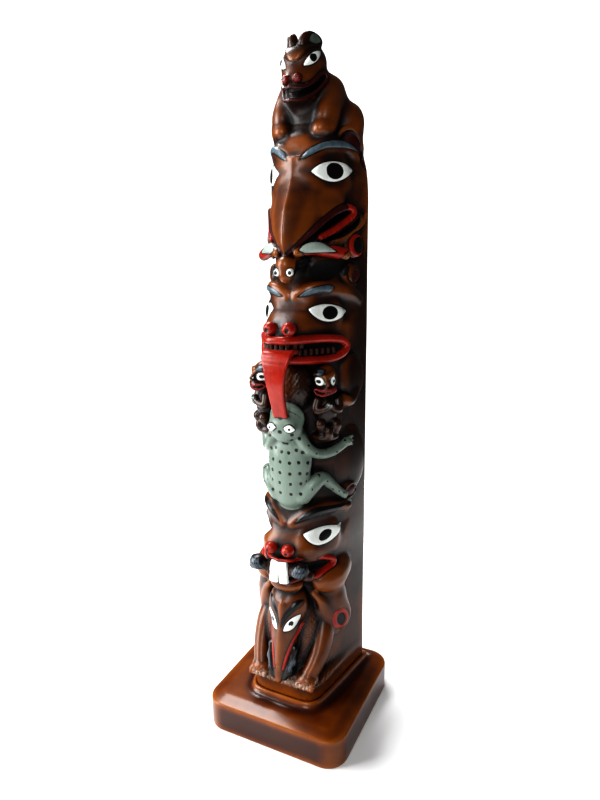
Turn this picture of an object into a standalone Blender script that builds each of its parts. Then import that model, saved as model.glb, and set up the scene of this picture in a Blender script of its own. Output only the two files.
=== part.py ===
"""Model totem pole in cast resin, standing on its own square plinth.

The pole is one casting: a bear cub, a bird with a fish under its beak, a bear that shows its
tongue, two crouching figures, a frog, a beaver with a stick and a raven, on a column with a narrow
front, slanted sides and a flat back. The plinth is a second piece with a raised lip that the
pole's foot stands in.

Metres, +Z up, the front faces -Y. The figures are carved in marks: the pole's own height divided
by POLE_MARKS, so the pose and proportions of the carving follow that height.
"""

import math

import bmesh
import bpy
import numpy as np
from mathutils import Euler, Vector

# Driving sizes in metres
POLE_HEIGHT = 0.3745
PLINTH_SIDE = 0.090
PLINTH_CORNER = 0.0125
PLINTH_EDGE_HEIGHT = 0.018
PLINTH_SLOPE_RISE = 0.0019
PLINTH_SLOPE_WIDTH = 0.0084
PLINTH_FOOT_ROUNDING = 0.0012
LIP_HEIGHT = 0.0042
LIP_WIDTH = 0.0032
LIP_COVE_WIDTH = 0.0022
SEAT_DEPTH = 0.0010
SEAT_CLEARANCE = 0.0003

# The column's flat back and the plan of its foot, in metres
BACK_Y = 0.0330
BACK_HALF_WIDTH = 0.0302
FOOT_SIDE = 0.0252
FOOT_SQUARENESS = 6.0
FOOT_FRONT_Y = -0.0265
FOOT_BLOCK_HEIGHT = 0.0100

# The back narrows towards the top: marks of height and shares of its full width
BACK_TAPER_MARKS = (312, 322, 330, 337, 342, 346, 349)
BACK_TAPER_SHARES = (1.0, 0.987, 0.94, 0.894, 0.868, 0.834, 0.795)

# The lip's profile from the plinth up to the seat: shares of its width outward and of its height
LIP_PROFILE = ((1.0, 0.75), (0.6, 1.0), (0.0, 0.92))
LIP_COVE_SHARE = 0.35

# The carving's own grid
POLE_MARKS = 374.5
MARK = POLE_HEIGHT / POLE_MARKS
FOOT_MARK = 23.2
VOXEL_MARKS = 0.85
POLE_TRIANGLES = 9000
SMOOTHING_STEPS = 2
SMOOTHING_FACTOR = 0.5
BEAK_FLANK_STEPS = 6
BEAK_ROOT_DEPTH = 6
CORNER_STEPS = 6
ARC_STEPS = 14

PLINTH_TOP = PLINTH_EDGE_HEIGHT + PLINTH_SLOPE_RISE
LIP_TOP = PLINTH_TOP + LIP_HEIGHT
SEAT_Z = LIP_TOP - SEAT_DEPTH
POLE_FOOT_Z = SEAT_Z + SEAT_CLEARANCE
TOP_CORNER = max(PLINTH_CORNER - PLINTH_SLOPE_WIDTH, PLINTH_CORNER * 0.3)
TRIM_HEIGHT = POLE_HEIGHT * 1.2


def clear_scene():
    for item in list(bpy.data.objects):
        bpy.data.objects.remove(item, do_unlink=True)


def make_material(name, colour, roughness, metallic=0.0):
    material = bpy.data.materials.new(name)
    material.use_nodes = True
    shader = material.node_tree.nodes["Principled BSDF"]
    shader.inputs["Base Color"].default_value = (*colour, 1.0)
    shader.inputs["Roughness"].default_value = roughness
    shader.inputs["Metallic"].default_value = metallic
    return material


def place(x, y, z):
    """A point of the carving's grid, in metres."""
    return Vector((x * MARK, y * MARK, POLE_FOOT_Z + (z - FOOT_MARK) * MARK))


def along(points, steps):
    """Rows of numbers on a smooth curve through the given rows."""
    rows = [points[0]] + list(points) + [points[-1]]
    result = []
    for index in range(1, len(rows) - 2):
        before, start, end, after = rows[index - 1:index + 3]
        for step in range(steps):
            t = step / steps
            result.append([
                0.5 * (2 * b + (c - a) * t + (2 * a - 5 * b + 4 * c - d) * t * t
                       + (3 * b - a - 3 * c + d) * t ** 3)
                for a, b, c, d in zip(before, start, end, after)
            ])
    result.append(list(points[-1]))
    return result


def unit_ball(subdivisions):
    """The corners and triangles of a round ball with a radius of one."""
    bm = bmesh.new()
    bmesh.ops.create_icosphere(bm, subdivisions=subdivisions, radius=1.0)
    corners = np.array([vert.co for vert in bm.verts])
    triangles = [tuple(vert.index for vert in face.verts) for face in bm.faces]
    bm.free()
    return corners, triangles


class Carving:
    """A heap of closed shapes in one mesh, fused afterwards into one body."""

    def __init__(self):
        self.corners = []
        self.faces = []
        self.balls_by_detail = {detail: unit_ball(detail) for detail in (2, 3)}

    def add(self, corners, faces):
        first = len(self.corners)
        self.corners.extend(tuple(corner) for corner in corners)
        self.faces.extend(tuple(first + index for index in face) for face in faces)

    def ball(self, centre, radii, turn=(0, 0, 0), detail=3):
        """An egg with three radii in marks, turned by degrees about X, Y and Z."""
        corners, triangles = self.balls_by_detail[detail]
        rotation = np.array(Euler([math.radians(angle) for angle in turn]).to_matrix())
        moved = (corners * np.array(radii) * MARK) @ rotation.T + np.array(place(*centre))
        self.add(moved, triangles)

    def balls(self, centre, radii, turn=(0, 0, 0), detail=3):
        """The same egg on both sides of the pole."""
        for side in (1, -1):
            mirrored_centre = (side * centre[0], centre[1], centre[2])
            mirrored_turn = (turn[0], side * turn[1], side * turn[2])
            self.ball(mirrored_centre, radii, mirrored_turn, detail)

    def limb(self, joints, steps=6):
        """A tapered round limb along joints of x, y, z and radius."""
        for x, y, z, radius in along(joints, steps):
            self.ball((x, y, z), (radius, radius, radius), detail=2)

    def limbs(self, joints, steps=6):
        """The same limb on both sides of the pole."""
        for side in (1, -1):
            self.limb([(side * x, y, z, radius) for x, y, z, radius in joints], steps)

    def webs(self, ridge, rim, steps=5, across=5):
        """A curved plate between two limbs, on both sides of the pole."""
        for start, end in zip(along(ridge, steps), along(rim, steps)):
            for step in range(across + 1):
                share = step / across
                x, y, z, radius = [a + (b - a) * share for a, b in zip(start, end)]
                for side in (1, -1):
                    self.ball((side * x, y, z), (radius, radius, radius), detail=2)

    def loft(self, sections):
        """A closed body through rings of points, each ring lying at its own height."""
        count = len(sections[0])
        corners = [point for section in sections for point in section]
        faces = [tuple(reversed(range(count)))]
        for level in range(len(sections) - 1):
            for index in range(count):
                after = (index + 1) % count
                low, high = level * count, (level + 1) * count
                faces.append((low + index, low + after, high + after, high + index))
        faces.append(tuple((len(sections) - 1) * count + index for index in range(count)))
        self.add(corners, faces)

    def finish(self, name):
        data = bpy.data.meshes.new(name)
        data.from_pydata(self.corners, [], self.faces)
        item = bpy.data.objects.new(name, data)
        bpy.context.scene.collection.objects.link(item)
        return item


def column_outline(front, side, weight, back_half, grow=0.0):
    """The column's plan in metres, anticlockwise from its right back corner.

    The front is a conic arc. It leaves the middle of the front squarely and ends on the slanted
    side, which crosses the plane y = 0 at x = side. A larger weight makes a squarer shoulder.
    """
    shoulder = side + (back_half - side) * front / BACK_Y
    start = (back_half, BACK_Y)
    arc = []
    for step in range(ARC_STEPS + 1):
        t = step / ARC_STEPS
        shares = ((1 - t) ** 2, 2 * weight * t * (1 - t), t * t)
        total = sum(shares)
        x = (shares[0] * start[0] + shares[1] * shoulder) / total
        y = (shares[0] * start[1] + shares[1] * front + shares[2] * front) / total
        arc.append((x, y))
    outline = arc + [(-x, y) for x, y in reversed(arc[:-1])]
    return [grown_point(outline, index, grow) for index in range(len(outline))]


def grown_point(outline, index, grow):
    """A corner of an outline moved outward by a distance."""
    x, y = outline[index]
    before = outline[index - 1]
    after = outline[(index + 1) % len(outline)]
    first = Vector((y - before[1], before[0] - x)).normalized()
    second = Vector((after[1] - y, x - after[0])).normalized()
    outward = (first + second).normalized()
    reach = -grow / max(outward.dot(first), 0.5)
    return x + outward.x * reach, y + outward.y * reach


def foot_outline(grow):
    """The plan of the pole's foot block, grown outward by a distance in metres."""
    return column_outline(FOOT_FRONT_Y, FOOT_SIDE, FOOT_SQUARENESS, BACK_HALF_WIDTH, grow)


def carve_column(carving):
    """The column behind the figures: rows of height, front, side and squareness in marks."""
    profile = [
        (37, -22, 22.5, 2.5), (44, -18, 22.0, 2.0), (60, -14.5, 21.0, 2.0), (82, -13, 20.5, 2.0),
        (92, -13, 20.5, 1.8), (97, -19, 22.5, 1.3), (104, -21.5, 24.0, 1.2), (109, -21.5, 24.6, 1.2),
        (114, -24.0, 24.6, 1.2), (119, -23.5, 24.0, 1.3), (124, -21.0, 22.8, 1.6),
        (129, -17.5, 21.6, 2.0), (134, -16, 22.0, 2.0), (140, -14, 21.6, 2.0), (145, -9, 21, 2.0),
        (166, -8, 20.5, 2.0), (196, -8, 20, 2.0), (214, -6, 19.5, 2.0), (225, -8, 19.5, 1.8),
        (229, -18, 20.5, 1.3), (233, -19, 20.4, 1.3), (238, -21.5, 20.8, 1.2), (242, -23.5, 20.8, 1.2),
        (246, -22.0, 20.0, 1.2), (250, -16.5, 18.4, 1.5), (254, -12.0, 17.4, 1.8), (259, -9, 17.0, 2.0),
        (264, -7.8, 18.4, 2.0), (268, -6, 18.2, 2.0), (272, -2, 17, 2.0), (278, 1, 15.5, 2.0),
        (290, 1, 15.5, 2.0), (300, 0, 15.5, 2.0), (312, -1, 14.6, 2.0), (322, -4, 12.8, 2.0),
        (330, -4.6, 13.0, 2.2), (337, -4.8, 15.2, 2.2), (342, -3, 15.0, 2.0), (346, 0, 14, 1.8),
        (349, 4, 12.5, 1.5),
    ]
    foot = foot_outline(0.0)
    sections = [[(x, y, POLE_FOOT_Z - MARK) for x, y in foot],
                [(x, y, POLE_FOOT_Z + FOOT_BLOCK_HEIGHT) for x, y in foot]]
    for height, front, side, weight in profile:
        back_half = BACK_HALF_WIDTH * np.interp(height, BACK_TAPER_MARKS, BACK_TAPER_SHARES)
        plan = column_outline(front * MARK, side * MARK, weight, back_half)
        level = POLE_FOOT_Z + (height - FOOT_MARK) * MARK
        sections.append([(x, y, level) for x, y in plan])
    carving.loft(sections)


def carve_bear_cub(carving):
    """The bear cub that sits on the bird's head."""
    carving.ball((0, 26, 358), (17, 13, 18), (12, 0, 0))
    carving.ball((0, 20, 366), (12.5, 12, 15), (20, 0, 0))
    carving.balls((10.0, 27.0, 367.0), (9.4, 7.0, 9.0), (14, 18, 0))
    carving.balls((16.4, 30, 354.5), (9.2, 8.8, 12), (0, 0, 10))
    carving.ball((0, 8.0, 381), (9.4, 8.6, 12), (-10, 0, 0))
    carving.ball((0, 12.5, 380), (11.6, 7.5, 12), (-6, 0, 0))
    carving.ball((0, 1.0, 374.6), (7.2, 7.6, 5.6), (14, 0, 0))
    carving.ball((0, 3.0, 387.0), (6.6, 4.4, 7.4), (-24, 0, 0))
    carving.balls((6.2, 8.6, 392.2), (3.6, 3.0, 4.0), (-10, 14, 0))
    carving.balls((8.0, 4.0, 381.6), (5.4, 1.8, 2.8), (0, -26, 56))
    carving.balls((3.2, -4.8, 372.0), (1.9, 1.9, 1.9), detail=2)
    arm = [(10.6, 18, 371, 6.6), (11.4, 14.6, 361, 6.2), (10.8, 12.6, 353.5, 5.4), (10.2, 9, 348, 4.2)]
    carving.limbs(arm)
    carving.balls((10.8, 7.0, 346.6), (3.8, 4.8, 3.2), (0, 0, -14))
    lip = [(0, -6.8, 367.2, 1.2), (4.6, -4.4, 367.8, 1.2), (9.4, 3.8, 371.6, 1.2), (12.0, 10, 376.0, 1.2)]
    carving.limbs(lip)
    lower_lip = [(0, -6.6, 361.8, 1.2), (4.8, -4.2, 362.4, 1.2), (9.6, 4.0, 366.6, 1.2),
                 (12.2, 10.4, 373.8, 1.2)]
    carving.limbs(lower_lip)
    carving.ball((0, 3.4, 364.0), (8.6, 9.6, 4.2), (18, 0, 0))
    carving.ball((0, 5.5, 368.0), (10.4, 10.4, 6.4), (18, 0, 0))


def carve_bird(carving):
    """The bird's head: ears, brows, eyes and the long beak."""
    ear = [(20.6, 20, 347.4, 3.0), (23.2, 23.4, 346, 3.6), (25.2, 25.4, 340, 3.2), (27.0, 26.2, 333, 1.8)]
    carving.limbs(ear)
    brow = [(2.0, -3.0, 333.2, 1.2), (8, -2.0, 337.6, 2.4), (14.0, 2.4, 340.0, 3.0),
            (19.4, 11.0, 340.6, 3.0), (23.0, 18.0, 340.0, 2.8), (26.0, 24.6, 336.6, 2.2)]
    carving.limbs(brow)
    carving.balls((16.4, 9.8, 326.8), (12.4, 2.4, 5.2), (0, 0, 55))
    beak = [
        (330, -4.4, 9.5, 1.6, 18.0, 14.0), (324, -5.6, 10.2, 1.4, 21.0, 15.0),
        (317, -8.8, 10.5, 1.1, 23.0, 15.8), (311, -12.4, 10.0, 0.9, 23.8, 14.6),
        (305, -15.4, 7.5, 0.8, 17.6, 3.2), (297, -17.4, 5.0, 0.8, 12.0, -6.4),
        (290, -17.2, 3.0, 0.8, 6.6, -11.0), (283.6, -15.4, 1.0, 0.8, 1.6, -13.4),
    ]
    carving.loft([beak_section(*row) for row in reversed(beak)])
    upper_lip = [(1.4, -14.2, 283.8, 1.2), (12.0, -5.4, 297.0, 1.6), (17.2, 3.8, 305.2, 1.7),
                 (23.6, 15.4, 310.6, 1.7)]
    carving.limbs(upper_lip)
    lower_lip = [(13.2, -2.6, 291.6, 1.4), (19.6, 8.8, 296.8, 1.5), (24.4, 17.6, 302.0, 1.5),
                 (26.0, 20.4, 307.2, 1.4)]
    carving.limbs(lower_lip)
    jaw = [(19.4, 7.6, 288.6, 2.2), (21.2, 10.2, 293, 2.2), (24.6, 16.0, 296.6, 2.2), (28.6, 25.2, 306, 1.6)]
    carving.limbs(jaw)


def beak_section(height, ridge_y, shoulder_x, weight, rim_x, rim_y):
    """A level ring through the beak: a bowed flank from the rim of the mouth to the ridge."""
    flank = []
    for step in range(BEAK_FLANK_STEPS + 1):
        t = step / BEAK_FLANK_STEPS
        shares = ((1 - t) ** 2, 2 * weight * t * (1 - t), t * t)
        total = sum(shares)
        x = (shares[0] * rim_x + shares[1] * shoulder_x) / total
        y = (shares[0] * rim_y + (shares[1] + shares[2]) * ridge_y) / total
        flank.append((x, y))
    back = [(side * rim_x / 2, rim_y + BEAK_ROOT_DEPTH) for side in (-1, 1)]
    ring = flank + [(-x, y) for x, y in reversed(flank[:-1])] + back
    return [tuple(place(x, y, height)) for x, y in ring]


def carve_fish(carving):
    """The winged fish under the beak, and the wing joints on the pole's sides."""
    carving.ball((0, -12.2, 276.6), (6.4, 7.4, 5.6), (-24, 0, 0))
    carving.ball((0, -6, 280), (9, 8, 5))
    carving.balls((4.0, -15.4, 274.4), (1.8, 1.6, 1.8), detail=2)
    fin = [(7, -11.6, 284.4, 2.8), (12.6, -5.8, 287.4, 3.6), (18.4, 0.6, 285.8, 2.8), (25.0, 6.8, 283, 1.3)]
    carving.limbs(fin, 8)
    carving.balls((25.2, 19.0, 288.6), (7.0, 2.6, 6.8), (0, 0, 62))
    carving.balls((24.2, 17.6, 273.4), (8.0, 2.8, 5.6), (0, 0, 62))


def carve_bear(carving):
    """The large bear's brows, eyes, nose, lips, tongue, chest and arms."""
    brow = [(3, -6.4, 262.2, 1.6), (8.6, -5.6, 265.6, 2.4), (14.4, -2.0, 266.6, 2.8),
            (19.6, 7.0, 265.0, 2.6), (27.4, 21.0, 261.0, 2.0)]
    carving.limbs(brow)
    carving.balls((16.6, 4.2, 253.6), (11.0, 2.4, 4.8), (0, 0, 58))
    carving.balls((5.4, -21.4, 245.6), (4.0, 4.4, 4.0))
    upper_lip = [(0, -24.2, 239.4, 2.3), (6.6, -22.6, 239.4, 2.3), (13.6, -12.6, 239.2, 2.2),
                 (20.4, -1.6, 238.4, 2.2), (25.0, 7.0, 236.6, 2.1), (25.8, 9.0, 234.0, 1.9)]
    carving.limbs(upper_lip, 8)
    lower_lip = [(0, -22.4, 229.4, 2.2), (6.4, -20.6, 229.0, 2.2), (13.2, -11.6, 227.8, 2.2),
                 (20.2, -1.0, 227.4, 2.2), (24.6, 6.4, 229.6, 2.1), (25.8, 8.8, 233.0, 1.9)]
    carving.limbs(lower_lip, 8)
    tongue = [(0, -21.6, 234.6, 2.0), (0, -23.0, 231, 2.0), (0, -22.4, 222, 2.0), (0, -21.6, 212, 2.0),
              (0, -20.4, 199, 2.0)]
    for offset in (-5.6, -2.8, 0, 2.8, 5.6):
        narrowing = [1.25, 1.0, 0.9, 0.8, 0.75]
        carving.limb([(offset * share, y, z, radius)
                      for share, (x, y, z, radius) in zip(narrowing, tongue)], 8)
    carving.ball((0, -6.5, 212), (13, 10.5, 16))
    arm = [(26.8, 18.6, 225, 3.6), (28.0, 20.0, 216, 4.2), (27.8, 19.4, 206, 4.2), (26.2, 15.6, 199, 3.8)]
    carving.limbs(arm)
    carving.balls((24.0, 10.4, 203.4), (4.2, 4.6, 4.2))


def carve_crouching_figures(carving):
    """The two small figures that crouch back to back beside the tongue."""
    carving.balls((20.0, -5.4, 216.8), (6.6, 7.6, 7.6), (0, 0, 30))
    carving.balls((25.6, -8.0, 213.8), (1.8, 1.6, 1.8), detail=2)
    lips = [(18.0, -12.4, 211.6, 1.4), (23.0, -11.6, 210.2, 1.6), (26.2, -6.4, 210.8, 1.4)]
    carving.limbs(lips)
    carving.balls((18.4, -3.6, 199.6), (6.8, 6.8, 9.6), (0, 0, 30))
    arm = [(16.4, -9.6, 204.6, 2.2), (17.6, -12.0, 199.4, 2.1), (22.4, -8.8, 200.8, 2.0)]
    carving.limbs(arm)
    outer_arm = [(25.0, -1.0, 204.4, 2.1), (26.0, -3.0, 200, 2.1), (23.4, -7.4, 201.2, 2.0)]
    carving.limbs(outer_arm)
    knee = [(17.0, -6.4, 187.4, 2.6), (18.2, -9.8, 192.4, 3.0), (17.6, -6.4, 190.4, 2.8)]
    carving.limbs(knee)
    outer_knee = [(23.0, -1.0, 187.0, 2.6), (24.2, -2.6, 191.6, 3.0), (23.0, -1.0, 190.4, 2.8)]
    carving.limbs(outer_knee)
    carving.balls((18.6, -3.6, 184.6), (7.6, 5.6, 3.6), (0, 0, 30))


def carve_frog(carving):
    """The frog that climbs head-up over the bear's belly."""
    carving.ball((0, -12.2, 168.6), (13.0, 6.2, 22), (-5, 0, 0))
    carving.ball((0, -11.6, 154.6), (12.2, 5.4, 14), (-8, 0, 0))
    carving.ball((0, -18.0, 190.6), (9.4, 6.4, 8.6), (-6, 0, 0))
    carving.balls((5.9, -22.6, 191.6), (3.2, 3.0, 2.4), (0, -14, 0), detail=2)
    arm = [(8.6, -15.4, 184.0, 3.0), (12.8, -14.0, 178.0, 2.9), (17.0, -9.8, 173.4, 2.8),
           (22.6, -1.6, 175.2, 2.7), (27.0, 6.0, 178.0, 2.6)]
    carving.limbs(arm)
    carving.balls((28.0, 7.6, 178.6), (4.0, 3.0, 3.4), (0, 0, 60), detail=2)
    leg = [(9.4, -11.4, 148.4, 4.4), (14.6, -10.4, 154.6, 4.4), (18.8, -7.0, 160.0, 3.6),
           (22.4, -3.2, 155.6, 3.0), (24.8, 2.0, 149.8, 2.7), (27.2, 6.6, 147.6, 2.5)]
    carving.limbs(leg)
    carving.balls((27.6, 7.6, 145.8), (4.6, 3.0, 3.0), (0, 0, 60), detail=2)


def carve_beaver(carving):
    """The beaver's head, teeth, stick, paws and jowls."""
    carving.balls((25.4, 13.0, 146.0), (6.6, 3.0, 5.4), (0, 0, 60))
    brow = [(4.4, -16.0, 133.4, 1.6), (10, -14.8, 138.0, 2.6), (16.2, -9.8, 140.6, 2.8),
            (22.0, 1.0, 139.6, 2.8), (27.4, 13.0, 136.6, 2.2)]
    carving.limbs(brow)
    carving.balls((17.0, -5.4, 125.6), (12.0, 2.6, 4.8), (0, -6, 58))
    carving.balls((5.2, -25.6, 119.4), (3.5, 3.8, 3.5))
    upper_lip = [(0, -26.2, 113.4, 1.5), (7, -24.4, 113.0, 1.5), (15.0, -13.6, 111.0, 1.7),
                 (22.8, -2.8, 106.4, 2.0), (24.4, 1.2, 103.6, 1.6)]
    carving.limbs(upper_lip, 8)
    lower_lip = [(0, -25.4, 98.6, 1.8), (6, -24.0, 99.4, 1.7), (12.4, -18.8, 100.6, 1.5),
                 (17.6, -11.0, 101.4, 1.5), (23.6, -1.0, 103.0, 1.5)]
    carving.limbs(lower_lip, 8)
    for offset in (-4.6, -2.0, 2.0, 4.6):
        carving.limb([(offset, -24.8, 111.6, 2.0), (offset, -26.2, 105, 2.0), (offset, -26.6, 100.4, 1.8)])
    carving.limb([(-19, -23.6, 106.2, 3.4), (0, -23.4, 107.2, 3.4), (19, -23.6, 106.2, 3.4)], 12)
    carving.balls((14.6, -25.0, 108.2), (6.0, 5.0, 4.8), (0, 0, 10))
    carving.balls((19.0, -7.6, 94.0), (7.0, 10.0, 8.6), (0, 0, -28))
    carving.balls((24.0, 8.6, 93.0), (5.6, 12, 11), (0, 0, -24))


def carve_raven(carving):
    """The raven's head and beak at the foot, with its claws."""
    carving.ball((0, -13.6, 82.0), (9.8, 8.6, 12.0), (-12, 0, 0))
    carving.balls((5.0, -18.4, 84.4), (3.4, 2.6, 10.0), (-8, -12, 0))
    carving.balls((6.6, -20.2, 74.8), (2.6, 6.0, 6.4), (0, -10, 16))
    beak = [(0, -16.6, 82.0, 7.0), (0, -18.2, 74.0, 7.6), (0, -20.2, 65.0, 7.4), (0, -23.0, 56.0, 6.4),
            (0, -26.2, 47.0, 4.8), (0, -28.8, 40.6, 3.4), (0, -30.6, 36.6, 2.2)]
    carving.limb(beak, 8)
    claw = [(9.2, -20.6, 61.0, 2.4), (10.2, -24.8, 55.0, 2.8), (9.4, -27.0, 46, 2.7), (6.6, -28.4, 38, 2.2)]
    carving.limbs(claw)
    carving.ball((0, -15, 52), (9, 9, 22))


def carve_beaver_legs(carving):
    """The beaver's drawn-up legs, knee discs and feet on the foot block."""
    carving.balls((23.0, -3.4, 71.0), (9.4, 4.0, 12.4), (0, 14, 62))
    flap = [(14.8, -18.0, 88, 1.8), (19.6, -12.6, 80.0, 2.4), (22.4, -8.0, 68.0, 2.2)]
    carving.limbs(flap)
    thigh_edge = [(14.8, -15.0, 88, 2.6), (21.8, -6.6, 68.0, 2.6)]
    thigh_root = [(20, -2, 92, 4), (24.6, 4, 70, 3)]
    carving.webs(thigh_edge, thigh_root, steps=6, across=4)
    leg = [(20.4, -10.0, 70.6, 5.4), (20.0, -12.0, 62.0, 5.2), (19.0, -14.4, 51.0, 4.6),
           (18.2, -17.8, 42.4, 4.6), (17.6, -20.4, 37.6, 4.6)]
    carving.limbs(leg)
    for toe_x in (12.6, 15.8, 19.0, 22.0):
        carving.limbs([(toe_x, -18.6, 37.6, 2.4), (toe_x, -23.0, 35.6, 2.2), (toe_x, -25.6, 33.2, 1.8)])


def make_pole(material):
    carving = Carving()
    carve_column(carving)
    carve_bear_cub(carving)
    carve_bird(carving)
    carve_fish(carving)
    carve_bear(carving)
    carve_crouching_figures(carving)
    carve_frog(carving)
    carve_beaver(carving)
    carve_raven(carving)
    carve_beaver_legs(carving)
    pole = carving.finish("totem_pole")
    pole.data.materials.append(material)

    fuse = pole.modifiers.new("fuse the carving", "REMESH")
    fuse.mode = "VOXEL"
    fuse.voxel_size = VOXEL_MARKS * MARK
    fuse.use_smooth_shade = True
    soften = pole.modifiers.new("soften", "SMOOTH")
    soften.factor = SMOOTHING_FACTOR
    soften.iterations = SMOOTHING_STEPS
    fewer = pole.modifiers.new("fewer facets", "DECIMATE")
    fewer.ratio = decimate_ratio(pole, POLE_TRIANGLES)
    trim_box = make_trim_box()
    trim = pole.modifiers.new("flat back and foot", "BOOLEAN")
    trim.operation = "INTERSECT"
    trim.solver = "EXACT"
    trim.object = trim_box
    return pole


def decimate_ratio(item, wanted):
    """The share of facets that leaves the wanted number of triangles."""
    graph = bpy.context.evaluated_depsgraph_get()
    graph.update()
    evaluated = item.evaluated_get(graph)
    mesh = evaluated.to_mesh()
    mesh.calc_loop_triangles()
    count = len(mesh.loop_triangles)
    evaluated.to_mesh_clear()
    return min(1.0, wanted / count)


def make_trim_box():
    """A box whose back and underside cut the pole flat."""
    reach = PLINTH_SIDE
    box = Carving()
    outline = [(-reach, -reach), (reach, -reach), (reach, BACK_Y), (-reach, BACK_Y)]
    levels = (POLE_FOOT_Z, POLE_FOOT_Z + TRIM_HEIGHT)
    box.loft([[(x, y, z) for x, y in outline] for z in levels])
    item = box.finish("trim_box")
    item.hide_render = True
    item.display_type = "WIRE"
    return item


def square_outline(half, corner):
    """A square with round corners, anticlockwise from above."""
    outline = []
    for quarter in range(4):
        start = math.pi / 2 * quarter
        centre_x = math.copysign(half - corner, math.cos(start + math.pi / 4))
        centre_y = math.copysign(half - corner, math.sin(start + math.pi / 4))
        for step in range(CORNER_STEPS + 1):
            angle = start + math.pi / 2 * step / CORNER_STEPS
            outline.append((centre_x + corner * math.cos(angle), centre_y + corner * math.sin(angle)))
    return outline


def ring(bm, outline, level):
    return [bm.verts.new((x, y, level)) for x, y in outline]


def skin(bm, lower, upper):
    """Joins two rings of equal length."""
    count = len(lower)
    for index in range(count):
        after = (index + 1) % count
        bm.faces.new((lower[index], lower[after], upper[after], upper[index]))


def make_plinth(material):
    """The square base: upright edge, shallow slope, flat top and the lip round the pole."""
    bm = bmesh.new()
    half = PLINTH_SIDE / 2
    rounding = PLINTH_FOOT_ROUNDING
    rings = [
        ring(bm, square_outline(half - rounding, PLINTH_CORNER - rounding), 0.0),
        ring(bm, square_outline(half, PLINTH_CORNER), rounding),
        ring(bm, square_outline(half, PLINTH_CORNER), PLINTH_EDGE_HEIGHT),
        ring(bm, square_outline(half - PLINTH_SLOPE_WIDTH, TOP_CORNER), PLINTH_TOP),
    ]
    for lower, upper in zip(rings, rings[1:]):
        skin(bm, lower, upper)
    bm.faces.new(list(reversed(rings[0])))
    foot_of_lip = SEAT_CLEARANCE + LIP_WIDTH
    lip = [
        ring(bm, foot_outline(foot_of_lip + LIP_COVE_WIDTH), PLINTH_TOP),
        ring(bm, foot_outline(foot_of_lip + LIP_COVE_WIDTH * LIP_COVE_SHARE),
             PLINTH_TOP + LIP_HEIGHT * LIP_COVE_SHARE),
    ]
    for outward, upward in LIP_PROFILE:
        lip.append(ring(bm, foot_outline(SEAT_CLEARANCE + LIP_WIDTH * outward),
                        PLINTH_TOP + LIP_HEIGHT * upward))
    lip.append(ring(bm, foot_outline(SEAT_CLEARANCE), SEAT_Z))
    for lower, upper in zip(lip, lip[1:]):
        skin(bm, lower, upper)
    bm.faces.new(lip[-1])
    outer_edges = [bm.edges.get((a, b)) for a, b in zip(rings[-1], rings[-1][1:] + rings[-1][:1])]
    inner_edges = [bm.edges.get((a, b)) for a, b in zip(lip[0], lip[0][1:] + lip[0][:1])]
    bmesh.ops.triangle_fill(bm, use_beauty=True, use_dissolve=False, edges=outer_edges + inner_edges)
    bmesh.ops.recalc_face_normals(bm, faces=bm.faces)
    data = bpy.data.meshes.new("plinth")
    bm.to_mesh(data)
    bm.free()
    item = bpy.data.objects.new("plinth", data)
    bpy.context.scene.collection.objects.link(item)
    data.materials.append(material)
    return item


def main():
    clear_scene()
    resin = make_material("brown cast resin", (0.085, 0.033, 0.014), 0.32)
    base_resin = make_material("brown base resin", (0.075, 0.028, 0.012), 0.30)
    make_pole(resin)
    make_plinth(base_resin)


main()
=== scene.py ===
# %% [markdown]
# # A model totem pole in painted cast resin
# The real thing is a souvenir about 400 mm tall. It was modelled in clay, cast in brown resin,
# painted by hand with enamels and sealed with a satin varnish.
# This lesson does the same steps in the same order. It fills a grid with the distance to a set of
# simple shapes, which is what digital clay is, then makes one smooth mesh from it, and then paints.
# Everything is in millimetres while it is carved: X to the right, Y to the back, Z up from the
# plinth's underside.

import math

import bpy
import numpy as np
from mathutils import Euler, Matrix, Vector


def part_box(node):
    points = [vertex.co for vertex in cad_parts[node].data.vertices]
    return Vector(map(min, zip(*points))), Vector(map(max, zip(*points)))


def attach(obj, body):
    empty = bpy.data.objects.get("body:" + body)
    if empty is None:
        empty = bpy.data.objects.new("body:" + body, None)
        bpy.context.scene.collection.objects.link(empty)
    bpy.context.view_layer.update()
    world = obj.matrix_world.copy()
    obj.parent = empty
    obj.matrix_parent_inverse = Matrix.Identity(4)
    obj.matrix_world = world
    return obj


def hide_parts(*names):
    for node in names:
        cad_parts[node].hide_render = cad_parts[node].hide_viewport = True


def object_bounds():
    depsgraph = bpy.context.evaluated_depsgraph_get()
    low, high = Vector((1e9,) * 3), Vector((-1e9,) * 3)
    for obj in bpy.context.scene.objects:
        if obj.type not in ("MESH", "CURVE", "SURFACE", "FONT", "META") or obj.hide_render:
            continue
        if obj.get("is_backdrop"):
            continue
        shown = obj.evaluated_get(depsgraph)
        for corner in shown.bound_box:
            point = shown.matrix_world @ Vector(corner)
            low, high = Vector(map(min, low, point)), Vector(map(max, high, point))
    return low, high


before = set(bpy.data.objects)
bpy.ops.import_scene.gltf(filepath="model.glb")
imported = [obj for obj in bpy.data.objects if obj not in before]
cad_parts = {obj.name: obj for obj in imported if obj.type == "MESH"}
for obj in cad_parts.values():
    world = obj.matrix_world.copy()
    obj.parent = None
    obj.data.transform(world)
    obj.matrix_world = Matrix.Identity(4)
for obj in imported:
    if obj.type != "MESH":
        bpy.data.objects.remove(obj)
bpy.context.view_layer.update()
MM = 0.001
pole_low, pole_high = [np.array(corner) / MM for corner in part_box("totem_pole")]
plinth_low, plinth_high = [np.array(corner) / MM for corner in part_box("plinth")]
print("pole box in mm:", pole_low.round(1), pole_high.round(1))

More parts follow.
